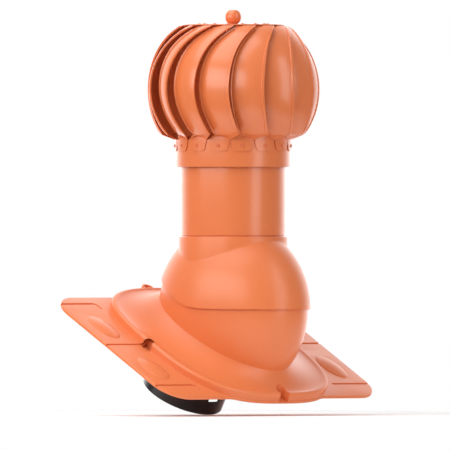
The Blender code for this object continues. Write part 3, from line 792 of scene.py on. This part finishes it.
    def grooves(self) -> list[Mesh]:
        """Cutters of the six water grooves, with round floors; two have hooked ends."""
        half = self.groove_width / 2
        section = [(half * c, -self.groove_depth * s) for c, s in arc(0.0, HALF_TURN, 8)]
        section += [(-half, self.cutter_lid), (half, self.cutter_lid)]
        meshes = []
        for side in (-1, 1):
            for row in (-1, 0, 1):
                down = self.groove_shift + row * self.groove_pitch
                rings = [
                    [
                        self.roof.point(side * (out + c * offset), down + shift + s * offset, height)
                        for offset, height in section
                    ]
                    for out, shift, c, s in self.groove_path(row if side < 0 else 0)
                ]
                meshes.append(loft(f"groove_{side}_{row}", rings))
        return meshes

    def groove_path(self, row: int) -> list[tuple[float, float, float, float]]:
        """Places along a groove with the direction across it.

        Args:
            row: 0 for a straight groove; the others hook downslope at their inner end.

        Returns:
            Distance out, shift downslope, and the unit direction across the groove.
        """
        start = self.groove_start
        radius = self.groove_bend
        path = [(start, 0.0, 0.0, 1.0)]
        if row != 0:
            path = [(start, radius + self.groove_run, 1.0, 0.0)]
            path += [
                (start + radius * (1.0 - c), radius * (1.0 - s), c, s) for c, s in arc(0.0, QUARTER_TURN, 6)
            ]
        return path + [(self.width / 2 + self.cutter_reach, 0.0, 0.0, 1.0)]

    def notch_places(self) -> tuple[tuple[float, float, float, float, float], ...]:
        """Each drain slot: direction across and downslope, the wall's place, length and height."""
        return (
            (1.0, 0.0, self.seat_across, *self.side_notch),
            (-1.0, 0.0, self.seat_across, *self.side_notch),
            (0.0, 1.0, self.seat_along, *self.front_notch),
        )

    def radial(self, name: str, across: float, down: float,
               stations: Sequence[tuple[float, Section]]) -> Mesh:
        """Closed solid that runs outwards in one direction.

        Args:
            name: Mesh name.
            across: The direction's share across.
            down: Its share down the slope.
            stations: Distances, each with a section of side and height.

        Returns:
            The mesh.
        """
        rings = [
            [
                self.roof.point(across * distance - down * side, down * distance + across * side, height)
                for side, height in section
            ]
            for distance, section in stations
        ]
        return loft(name, rings)

    def notches(self) -> list[Mesh]:
        """Arched cutters of the drain slots in the seat's wall, round at the inner end."""
        meshes = []
        half = self.notch_width / 2
        for index, (across, down, reach, length, height) in enumerate(self.notch_places()):
            section = [(-half, self.notch_floor), (half, self.notch_floor)]
            section += [(half * c, height - half * (1.0 - s)) for c, s in arc(0.0, HALF_TURN, 16)]
            depth = min(half, length * 0.7)
            stations = [
                (reach - length + depth * (1.0 - c), [(side * s, rise) for side, rise in section])
                for c, s in arc(0.0, QUARTER_TURN, 8)[1:]
            ]
            stations.append((reach + self.seat_lip + self.cutter_reach, section))
            meshes.append(self.radial(f"notch_{index}", across, down, stations))
        return meshes

    def pockets(self) -> list[Mesh]:
        """Blocks under the seat's skin that close each drain slot inside."""
        meshes = []
        half = self.notch_width / 2 + self.notch_wall
        foot = (self.notch_floor - self.roof.plate_thick) * 0.62
        junction = self.junction()
        for index, (across, down, reach, length, _) in enumerate(self.notch_places()):
            inner = junction[0] if across else junction[1]
            stations = []
            for step in range(5):
                distance = lerp(reach - length - self.notch_wall, reach - self.notch_setback, step / 4)
                share = max((reach - distance) / (reach - inner), self.valley_share)
                top = self.seat_height(share) - self.notch_skin
                stations.append((distance, [(-half, foot), (half, foot), (half, top), (-half, top)]))
            meshes.append(self.radial(f"pocket_{index}", across, down, stations))
        return meshes

    def eye(self) -> tuple[Mesh, Mesh]:
        """Filler and bore of the fixing eye behind the seat's upslope end."""
        edge = self.eye_edge
        section = (
            (-self.roof.plate_thick * 0.88, 0.0), (self.eye_height - edge, 0.0),
            (self.eye_height - edge * 0.3, edge * 0.3), (self.eye_height, edge),
        )
        rings = []
        for height, inset in section:
            radius = self.eye_radius - inset
            outline = [(-radius, -self.eye_root), (radius, -self.eye_root)]
            outline += [(radius * c, -self.eye_reach - radius * s) for c, s in arc(0.0, HALF_TURN, 32)]
            rings.append([self.roof.point(across, down, height) for across, down in outline])
        bore = [
            [self.roof.around(self.eye_bore, a, height, -self.eye_reach) for a in turn_angles(48)]
            for height in (-2.0 * self.roof.plate_thick, 2.0 * self.eye_height)
        ]
        return loft("eye", rings), loft("eye_bore", bore)

    def build(self, finishes: Finishes) -> None:
        """Build the moulding and settle it on the base."""
        piece = show(loft("base_moulding", self.rings(), closed=True), finishes.moulding)
        eye, bore = self.eye()
        carve(piece, self.pads() + self.pockets() + [eye], self.grooves() + self.notches() + [bore])
        settle(piece, Body.BASE, "base_plate")


@dataclass
class DuctSpigot:
    """Black duct spigot under the plate."""

    roof: RoofFrame
    radius: float = 0.0647
    wall: float = 0.0025
    lip_round: float = 0.0009
    upslope: float = 0.031
    reach: float = 0.1006
    grip: float = 0.012
    window_width: float = 0.0215
    window_height: float = 0.0100
    window_sill: float = 0.0220
    sides: int = 128

    def build(self, finishes: Finishes) -> None:
        """Turn the tube round its slanted axis, cut its window and settle it."""
        inner = self.radius - self.wall
        section = rounded_profile([
            (self.radius, -self.reach), (self.radius, self.grip), (inner, self.grip), (inner, -self.reach),
        ], self.lip_round)
        rings = [
            [self.roof.around(r, a, h, -self.upslope) for a in turn_angles(self.sides)] for r, h in section
        ]
        piece = show(loft("duct_spigot_tube", rings, closed=True), finishes.black)
        size = Vector((self.window_width, 8 * self.wall, self.window_height))
        middle = -self.reach + self.window_sill + self.window_height / 2
        carve(piece, [], [self.roof.box("window", size, self.radius - self.upslope, middle)])
        settle(piece, Body.BASE, "duct_spigot")


@dataclass
class Hood:
    """Upper half of the ball joint, with the pipe's socket."""

    roof: RoofFrame
    across: float = 0.0995
    radius: float = 0.1346
    inner_across: float = 0.0965
    inner_radius: float = 0.1316
    socket_radius: float = 0.0828
    socket_bore: float = 0.0803
    socket_top: float = 0.1118
    socket_edge: float = 0.0009
    fillet: float = 0.0022
    fillet_steps: int = 7
    least_collar: float = 0.0016           # straight wall kept above the fillet
    least_rise: float = 0.0002             # of the fillet's end above its corner
    cut_slope: float = 0.52
    cut_start: float = 0.0037
    cut_blend: float = 0.022
    edge_recess: float = 0.0016            # of the narrow drip edge along the bottom
    sides: int = 160
    steps: int = 78
    inner_steps: int = 12

    def cut_height(self, y: float) -> float:
        """Height of the lower edge: level in front, rising to the rear."""
        run = y - self.cut_start
        return self.cut_slope * (run + math.sqrt(run ** 2 + self.cut_blend ** 2)) / 2

    def edge_share(self, reach: float, sine: float, radius: float) -> float:
        """Share of the reach at which the lower edge lies in one direction."""
        low = 0.3
        high = 1.0
        for _ in range(40):
            middle = (low + high) / 2
            if radius * math.sqrt(1.0 - middle ** 2) > self.cut_height(middle * reach * sine):
                low = middle
            else:
                high = middle
        return (low + high) / 2

    def shell_rings(self, across: float, radius: float, collar: float, steps: int) -> list[Ring]:
        """Rings over the shell from its lower edge to the collar.

        Args:
            across: Half size along X.
            radius: Half size in the other directions.
            collar: Radius at which the shell ends.
            steps: Rings, less one.

        Returns:
            The rings, edge first.
        """
        rings: list[Ring] = [[] for _ in range(steps + 1)]
        for angle in turn_angles(self.sides):
            reach = superellipse_radius(angle, across, radius)
            first = math.asin(min(self.edge_share(reach, math.sin(angle), radius), 1.0))
            last = math.asin(collar / reach)
            for step, ring in enumerate(rings):
                polar = lerp(first, last, step / steps)
                place = on_circle(reach * math.sin(polar), angle, radius * math.cos(polar))
                ring.append(self.roof.ball_centre + place)
        return rings

    def fillet_rings(self) -> list[Ring]:
        """Soft hollow between the ball and the collar."""
        rings: list[Ring] = [[] for _ in range(self.fillet_steps)]
        for angle in turn_angles(self.sides):
            reach = superellipse_radius(angle, self.across, self.radius)
            start_out = self.socket_radius + self.fillet
            start = Vector((start_out, self.radius * math.sqrt(1.0 - (start_out / reach) ** 2)))
            corner_height = self.radius * math.sqrt(1.0 - (self.socket_radius / reach) ** 2)
            end_height = min(corner_height + self.fillet, self.socket_top - self.least_collar)
            corner = Vector((self.socket_radius, min(corner_height, end_height - self.least_rise)))
            end = Vector((self.socket_radius, end_height))
            for step, ring in enumerate(rings, start=1):
                point = bend(start, corner, end, step / self.fillet_steps)
                ring.append(self.roof.ball_centre + on_circle(point.x, angle, point.y))
        return rings

    def socket_ring(self, radius: float, height: float) -> Ring:
        """Ring of the socket's collar."""
        return [self.roof.ball_centre + on_circle(radius, a, height) for a in turn_angles(self.sides)]

    def build(self, finishes: Finishes) -> None:
        """Build the shell with its collar and settle it on the upper body."""
        collar = self.socket_radius + self.fillet
        edge = self.socket_edge
        outer = self.shell_rings(self.across, self.radius, collar, self.steps)
        recess = self.shell_rings(
            self.across - self.edge_recess, self.radius - self.edge_recess, collar, self.steps)
        rings = recess[:2] + outer[1:4] + outer[4:-1:2] + outer[-1:]
        rings += self.fillet_rings()
        rings += [
            self.socket_ring(self.socket_radius - edge * (1.0 - c), self.socket_top - edge * (1.0 - s))
            for c, s in arc(0.0, QUARTER_TURN, 4)
        ]
        rings.append(self.socket_ring(self.socket_bore, self.socket_top))
        inner = self.shell_rings(self.inner_across, self.inner_radius, self.socket_bore, self.inner_steps)
        rings += list(reversed(inner))
        piece = show(loft("hood_shell", rings, closed=True), finishes.moulding)
        settle(piece, Body.UPPER, "hood")


@dataclass
class StackPipe:
    """Fixed pipe."""

    roof: RoofFrame
    radius: float = 0.0800
    wall: float = 0.0015
    edge_round: float = 0.0006
    foot: float = 0.0940
    top: float = 0.2350
    neck: float = 0.1121                   # a narrow groove just above the socket
    neck_height: float = 0.0019
    neck_depth: float = 0.0011
    sides: int = 160

    def build(self, finishes: Finishes) -> None:
        """Build the pipe and settle it on the upper body."""
        inner = self.radius - self.wall
        neck_radius = self.radius - self.neck_depth
        neck_top = self.neck + self.neck_height
        section = rounded_profile([
            (self.radius, self.foot), (self.radius, self.neck), (neck_radius, self.neck),
            (neck_radius, neck_top), (self.radius, neck_top), (self.radius, self.top), (inner, self.top),
            (inner, self.foot),
        ], self.edge_round)
        piece = show(turned("stack_pipe", section, self.sides, self.roof.ball_centre), finishes.coated)
        settle(piece, Body.UPPER, "pipe")


@dataclass
class Turbine:
    """Globe of curved blades with its ring, disc, knob and rivets."""

    roof: RoofFrame
    count: int = 15
    phase: float = math.radians(-114.0)
    thick: float = 0.0010
    hem: float = 0.0016
    hem_share: float = 0.066               # of the blade's width, up to the hem's step
    hem_step: float = 0.084
    hem_fade: float = 0.006                # over which a hem ends before the tabs
    globe_height: float = 0.3376
    globe_radius: float = 0.1306
    globe_half_height: float = 0.1255
    blade_top: float = 0.0970
    blade_bottom: float = 0.0690
    blade_sharp: float = 28.0
    inset: float = 0.0158
    inset_slope: float = 0.055
    lag: float = math.radians(24.0)
    lag_top: float = math.radians(5.0)
    crown: float = 0.0020
    sweep_up: float = math.radians(13.4)
    sweep_up_end: float = math.radians(18.3)
    sweep_down: float = math.radians(16.5)
    sweep_length: float = 0.100
    tab_angle: float = math.radians(-12.0)
    tab_half_angle: float = math.radians(11.7)
    tab_fold_rise: float = 0.0060
    tab_fold_height: float = 0.2603
    tab_length: float = 0.0172
    tab_taper: float = 0.24
    tab_shoulder: float = 0.82             # of the tab's length, where its end rounds off
    tab_radius: float = 0.08870
    rivet_height: float = 0.2512
    rivet_radius: float = 0.0030
    rivet_head: float = 0.0019
    upper_rivet_circle: float = 0.0528
    upper_tab_end: float = 0.0440
    upper_tab_angle: float = math.radians(13.0)
    ring_radius: float = 0.0876
    ring_wall: float = 0.0015
    ring_foot: float = 0.2189
    ring_top: float = 0.2600
    ring_round: float = 0.0007
    ring_sides: int = 160
    disc_radius: float = 0.0780
    disc_thick: float = 0.0016
    disc_sides: int = 128
    disc_rim: float = 0.012                # flat band inside the edge, on top
    disc_under_rim: float = 0.020
    disc_middle: float = 0.012             # radius of the flat under the knob
    knob_radius: float = 0.0125
    knob_flat: float = 0.0020
    knob_neck: float = 0.0070
    knob_stem: float = 0.0010
    knob_sides: int = 64
    body_rows: int = 44

    @property
    def disc_foot(self) -> float:
        """Height of the disc's underside above the ball's centre."""
        return self.globe_height + self.blade_top + self.thick / 2 + self.roof.gap

    @property
    def upper_middle(self) -> float:
        """Angle of the upper tab's middle."""
        return self.lip_sweep(self.blade_top) - (self.lag - self.lag_top) / 2

    def lip_sweep(self, height: float) -> float:
        """Angle by which the lip runs ahead of its place at the globe's middle."""
        run = abs(height) / self.sweep_length
        if height > 0:
            return self.sweep_up * run ** 2 + self.sweep_up_end * run ** 6
        return self.sweep_down * run ** 2

    def body_point(self, height: float, share: float) -> tuple[float, float, float]:
        """Radius, angle and height on the curved blade.

        Args:
            height: Height from the globe's middle.
            share: 0 at the inner edge and 1 at the lip.

        Returns:
            Radius, angle from the lip's place at the middle, and height.
        """
        outer = self.globe_radius * math.sqrt(1.0 - (height / self.globe_half_height) ** 2)
        inner = outer - (self.inset - self.inset_slope * height)
        lag = self.lag
        if height > 0:
            lag -= self.lag_top * (height / self.blade_top) ** 4
        radius = lerp(inner, outer, share) + self.crown * 4.0 * share * (1.0 - share)
        return radius, self.lip_sweep(height) - lag * (1.0 - share), self.globe_height + height

    def tab_point(self, drop: float, share: float) -> tuple[float, float, float]:
        """Point of the lower tab, drop 0 at its fold to 1 at its end."""
        side = 2.0 * share - 1.0
        width = 1.0 - self.tab_taper * drop
        if drop > self.tab_shoulder:
            end = (drop - self.tab_shoulder) / (1.0 - self.tab_shoulder)
            width *= math.sqrt(max(1.0 - 0.60 * end ** 2, 0.0))
        angle = self.tab_angle + self.tab_half_angle * width * side
        rise = self.tab_fold_rise * (1.0 - side ** 2) * max(1.0 - drop * 2.0, 0.0)
        return self.tab_radius, angle, self.tab_fold_height - self.tab_length * drop + rise

    def upper_tab_point(self, run: float, share: float) -> tuple[float, float, float]:
        """Point of the upper tab under the disc, run 0 at its root to 1 at its end."""
        root_radius, root_angle, root_height = self.body_point(self.blade_top, share)
        end_angle = self.upper_middle + self.upper_tab_angle * (share - 0.5)
        radius = lerp(root_radius, self.upper_tab_end, run)
        return radius, lerp(root_angle, end_angle, run), root_height

    def shares(self) -> list[float]:
        """Places across a blade, close together at its two hems."""
        edge = [0.0, 0.008, 0.025, 0.050, self.hem_share, 0.074, self.hem_step, 0.098]
        middle = [lerp(0.098, 0.902, i / 13) for i in range(1, 13)]
        return edge + middle + [1.0 - s for s in reversed(edge)]

    def hem_rise(self, share: float) -> float:
        """Extra thickness of the folded hems along both edges."""
        from_edge = min(share, 1.0 - share)
        return self.hem * (1.0 - smooth_step(self.hem_share, self.hem_step, from_edge))

    def blade_rows(self) -> list[tuple[float, list[tuple[float, float, float]]]]:
        """Rows of points from the lower tab to the upper tab, each with its hem's strength."""
        shares = self.shares()
        foot = -self.blade_bottom
        fade = self.hem_fade
        rows = []
        for drop in (1.0, 0.97, 0.92, 0.86, 0.78, 0.6, 0.45, 0.3, 0.15, 0.0):
            rows.append((0.0, [self.tab_point(drop, s) for s in shares]))
        for step in range(self.body_rows + 1):
            height = lerp(foot, self.blade_top, step / self.body_rows)
            strength = smooth_step(foot, foot + fade, height)
            strength *= 1.0 - smooth_step(self.blade_top - fade, self.blade_top - 0.001, height)
            rows.append((strength, [self.body_point(height, s) for s in shares]))
        for run in (0.12, 0.3, 0.5, 0.7, 0.88, 1.0):
            rows.append((0.0, [self.upper_tab_point(run, s) for s in shares]))
        return rows

    def blade(self, name: str, turn: float) -> Mesh:
        """Closed thin mesh of one blade with folded hems.

        Args:
            name: Mesh name.
            turn: The blade's place round the globe.

        Returns:
            The mesh.
        """
        shares = self.shares()
        strengths = []
        rows = []
        for strength, row in self.blade_rows():
            strengths.append(strength)
            rows.append([self.roof.ball_centre + on_circle(r, a + turn, z) for r, a, z in row])
        last_row = len(rows) - 1
        last = len(shares) - 1
        bm = bmesh.new()
        outer: list[list[bmesh.types.BMVert]] = []
        inner: list[list[bmesh.types.BMVert]] = []
        for i, (strength, points) in enumerate(zip(strengths, rows)):
            outer.append([])
            inner.append([])
            for j, share in enumerate(shares):
                along = rows[min(i + 1, last_row)][j] - rows[max(i - 1, 0)][j]
                side = points[min(j + 1, last)] - points[max(j - 1, 0)]
                normal = side.cross(along).normalized()
                rise = self.thick / 2 + self.hem_rise(share) * strength
                outer[-1].append(bm.verts.new(points[j] + normal * rise))
                inner[-1].append(bm.verts.new(points[j] - normal * self.thick / 2))
        for i in range(last_row):
            for j in range(last):
                bm.faces.new((outer[i][j], outer[i][j + 1], outer[i + 1][j + 1], outer[i + 1][j]))
                bm.faces.new((inner[i][j], inner[i + 1][j], inner[i + 1][j + 1], inner[i][j + 1]))
            for j in (0, last):
                bm.faces.new((outer[i][j], outer[i + 1][j], inner[i + 1][j], inner[i][j]))
        for i in (0, last_row):
            for j in range(last):
                bm.faces.new((outer[i][j], outer[i][j + 1], inner[i][j + 1], inner[i][j]))
        return close_mesh(name, bm)

    def rivet(self, name: str, place: Vector, outward: Vector) -> Mesh:
        """Domed rivet head on a thin flange."""
        side = outward.orthogonal().normalized()
        other = outward.cross(side)
        section = [(1.0, 0.0), (1.0, 0.10), (0.96, 0.2)]
        section += [(0.86 * c, 0.22 + 0.78 * s) for c, s in arc(0.0, QUARTER_TURN, 6)[:-1]]
        section.append((0.10, 1.0))
        rings = [
            [
                place + outward * (height * self.rivet_head)
                + (side * math.cos(a) + other * math.sin(a)) * (radius * self.rivet_radius)
                for a in turn_angles(24)
            ]
            for radius, height in section
        ]
        return loft(name, rings)

    def build_blades(self, finishes: Finishes) -> None:
        """Fifteen blades with their lower and upper rivets."""
        centre = self.roof.ball_centre
        face = self.tab_radius + self.thick / 2
        for index in range(self.count):
            turn = self.phase + FULL_TURN * index / self.count
            number = f"{index + 1:02d}"
            blade = show(self.blade(f"curved_blade_{number}", turn), finishes.coated, self.blade_sharp)
            settle(blade, Body.TURBINE, f"blade_{number}")
            low_angle = turn + self.tab_angle
            low = on_circle(face, low_angle, self.rivet_height)
            high = on_circle(
                self.upper_rivet_circle, turn + self.upper_middle, self.disc_foot + self.disc_thick)
            for name, node, spot, out in (
                    ("tab_rivet", "lower_rivet", low, on_circle(1.0, low_angle)),
                    ("disc_rivet", "upper_rivet", high, RISE)):
                rivet = show(self.rivet(f"{name}_{number}", centre + spot, out), finishes.rivet)
                settle(rivet, Body.TURBINE, f"{node}_{number}")

    def build_ring(self, finishes: Finishes) -> None:
        """Turning band round the pipe's top, with a rolled lower edge."""
        inner = self.ring_radius - self.ring_wall
        section = rounded_profile([
            (self.ring_radius, self.ring_foot), (self.ring_radius, self.ring_top),
            (inner, self.ring_top), (inner, self.ring_foot),
        ], self.ring_round)
        ring = show(turned("turbine_band", section, self.ring_sides, self.roof.ball_centre), finishes.coated)
        settle(ring, Body.TURBINE, "turbine_ring")

    def build_cap(self, finishes: Finishes) -> None:
        """Top disc and knob."""
        centre = self.roof.ball_centre
        top = self.disc_foot + self.disc_thick
        edge = self.disc_thick / 2
        section = [(self.disc_radius - self.disc_under_rim, self.disc_foot)]
        section += [
            (self.disc_radius - edge + edge * c, self.disc_foot + edge + edge * s)
            for c, s in arc(-QUARTER_TURN, QUARTER_TURN, 8)
        ]
        section += [(self.disc_radius - self.disc_rim, top), (self.disc_middle, top)]
        disc = show(turned("top_plate", section, self.disc_sides, centre, closed=False), finishes.coated)
        settle(disc, Body.TURBINE, "top_disc")
        radius = self.knob_radius
        stem = self.roof.gap + self.knob_stem
        middle = top + stem + math.sqrt(radius ** 2 - self.knob_neck ** 2)
        start = -math.acos(self.knob_neck / radius)
        end = math.asin((radius - self.knob_flat) / radius)
        section = [(self.knob_neck, top), (self.knob_neck, top + stem)]
        section += [(radius * c, middle + radius * s) for c, s in arc(start, end, 24)[1:]]
        knob = show(turned("top_ball_knob", section, self.knob_sides, centre, closed=False), finishes.coated)
        settle(knob, Body.TURBINE, "top_knob")

    def build(self, finishes: Finishes) -> None:
        """Build every piece of the turbine."""
        self.build_ring(finishes)
        self.build_blades(finishes)
        self.build_cap(finishes)


@dataclass
class Bearing:
    """Bridge and spindle that the frame carries over as they are."""

    nodes: dict[str, bpy.types.Object]

    def build(self, finishes: Finishes) -> None:
        """Give the bearing's own solids their finish."""
        for name in ("bearing_bridge", "spindle"):
            for slot in self.nodes[name].material_slots:
                slot.material = finishes.steel
            LOG.info("%s keeps its solid", name)


@dataclass
class Studio:
    """Camera, floor and soft light."""

    roof: RoofFrame
    lens: float = 1600.0
    sensor: float = 36.0
    clip_end: float = 400.0
    frame_width: float = 0.689             # metres across the picture at the cowl
    axis_shift: float = 0.0126             # the pipe's axis right of the picture's middle
    level: float = 0.1912                  # height at the picture's middle row
    floor_size: float = 1.4
    centre: tuple[float, float, float] = (0.0, -0.035, 0.25)

    @property
    def view(self) -> Vector:
        """Direction from the cowl to the camera."""
        return Vector((-math.sqrt(0.5), -math.sqrt(0.5), 0.0))

    @property
    def right(self) -> Vector:
        """Direction to the picture's right."""
        return Vector((math.sqrt(0.5), -math.sqrt(0.5), 0.0))

    def camera(self) -> None:
        """Level camera with a long lens, from between the front and the left."""
        data = bpy.data.cameras.new("camera")
        data.lens = self.lens
        data.sensor_width = self.sensor
        data.clip_end = self.clip_end
        target = Vector((0.0, self.roof.ball_centre.y, self.level)) - self.right * self.axis_shift
        camera = add_object("camera", data)
        camera.location = target + self.view * (self.frame_width * self.lens / self.sensor)
        camera.rotation_euler = (-self.view).to_track_quat("-Z", "Y").to_euler()
        bpy.context.scene.camera = camera

    def floor(self, low: float) -> None:
        """Pale floor just under the cowl."""
        bm = bmesh.new()
        bmesh.ops.create_grid(bm, x_segments=1, y_segments=1, size=self.floor_size / 2)
        mesh = bpy.data.meshes.new("studio_floor")
        bm.to_mesh(mesh)
        bm.free()
        material = bpy.data.materials.new("pale floor")
        material.use_nodes = True
        Graph(material.node_tree).feed(material.node_tree.nodes["Principled BSDF"], {
            "Base Color": (0.98, 0.98, 0.98, 1.0), "Roughness": 0.9, "Specular IOR Level": 0.0})
        mesh.materials.append(material)
        floor = add_object("studio_floor", mesh)
        floor.location = (0.0, 0.0, low)
        floor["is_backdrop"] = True

    def softbox(self, name: str, offset: Vector, size: tuple[float, float], power: float) -> None:
        """Soft rectangular light that looks at the cowl.

        Args:
            name: Light name.
            offset: Where it stands from the cowl's middle.
            size: Width and height.
            power: Watts.
        """
        data = bpy.data.lights.new(name, "AREA")
        data.shape = "RECTANGLE"
        data.size, data.size_y = size
        data.energy = power
        light = add_object(name, data)
        light.location = Vector(self.centre) + offset
        light.rotation_euler = (-offset).to_track_quat("-Z", "Z").to_euler()

    def world(self) -> None:
        """White surroundings, dimmer on the camera's side so that forms keep their shade."""
        world = bpy.data.worlds.new("studio")
        bpy.context.scene.world = world
        world.use_nodes = True
        world.node_tree.nodes.clear()
        graph = Graph(world.node_tree)
        direction = graph.node("TexCoord").outputs["Generated"]
        behind = graph.node("VectorMath", {0: direction, 1: -self.view}, operation="DOT_PRODUCT")
        ramp = graph.node("MapRange", {
            "Value": behind.outputs["Value"], "From Min": 0.38, "From Max": 0.95, "To Min": 0.22,
            "To Max": 2.3,
        }, interpolation_type="SMOOTHSTEP")
        seen = graph.node("LightPath").outputs["Is Camera Ray"]
        strength = graph.node("Mix", {0: seen, 2: ramp.outputs["Result"], 3: 1.0}, data_type="FLOAT")
        background = graph.node("Background", {
            "Color": (1.0, 1.0, 1.0, 1.0), "Strength": strength.outputs[0]})
        graph.node("OutputWorld", {"Surface": background.outputs[0]})

    def lights(self) -> None:
        """Two softboxes in front and one above."""
        view = self.view
        right = self.right
        self.softbox("left_softbox", view * 1.10 - right * 1.15 + RISE * 0.55, (0.8, 2.0), 19.0)
        self.softbox("right_softbox", view * 0.95 + right * 1.25 + RISE * 0.50, (0.6, 2.0), 11.0)
        self.softbox("top_softbox", view * 0.3 - right * 0.7 + RISE * 1.9, (2.0, 2.0), 31.0)

    def build(self, low: float) -> None:
        """Build the whole studio round the cowl."""
        bpy.context.scene.view_settings.view_transform = "Standard"
        self.camera()
        self.floor(low)
        self.world()
        self.lights()


FLOOR_GAP = 0.0005


def main() -> None:
    """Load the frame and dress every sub-assembly."""
    logging.basicConfig(level=logging.INFO, format="%(name)s: %(message)s")
    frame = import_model()
    cad_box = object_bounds()
    roof = RoofFrame()
    Studio(roof).build(cad_box[0][2] - FLOOR_GAP)
    finishes = Finishes()
    builders: list[Callable[[Finishes], None]] = [
        BaseMoulding(roof).build,
        DuctSpigot(roof).build,
        Hood(roof).build,
        StackPipe(roof).build,
        Turbine(roof).build,
        Bearing(frame["nodes"]).build,
    ]
    for build in builders:
        build(finishes)


if __name__ == "__main__":
    main()
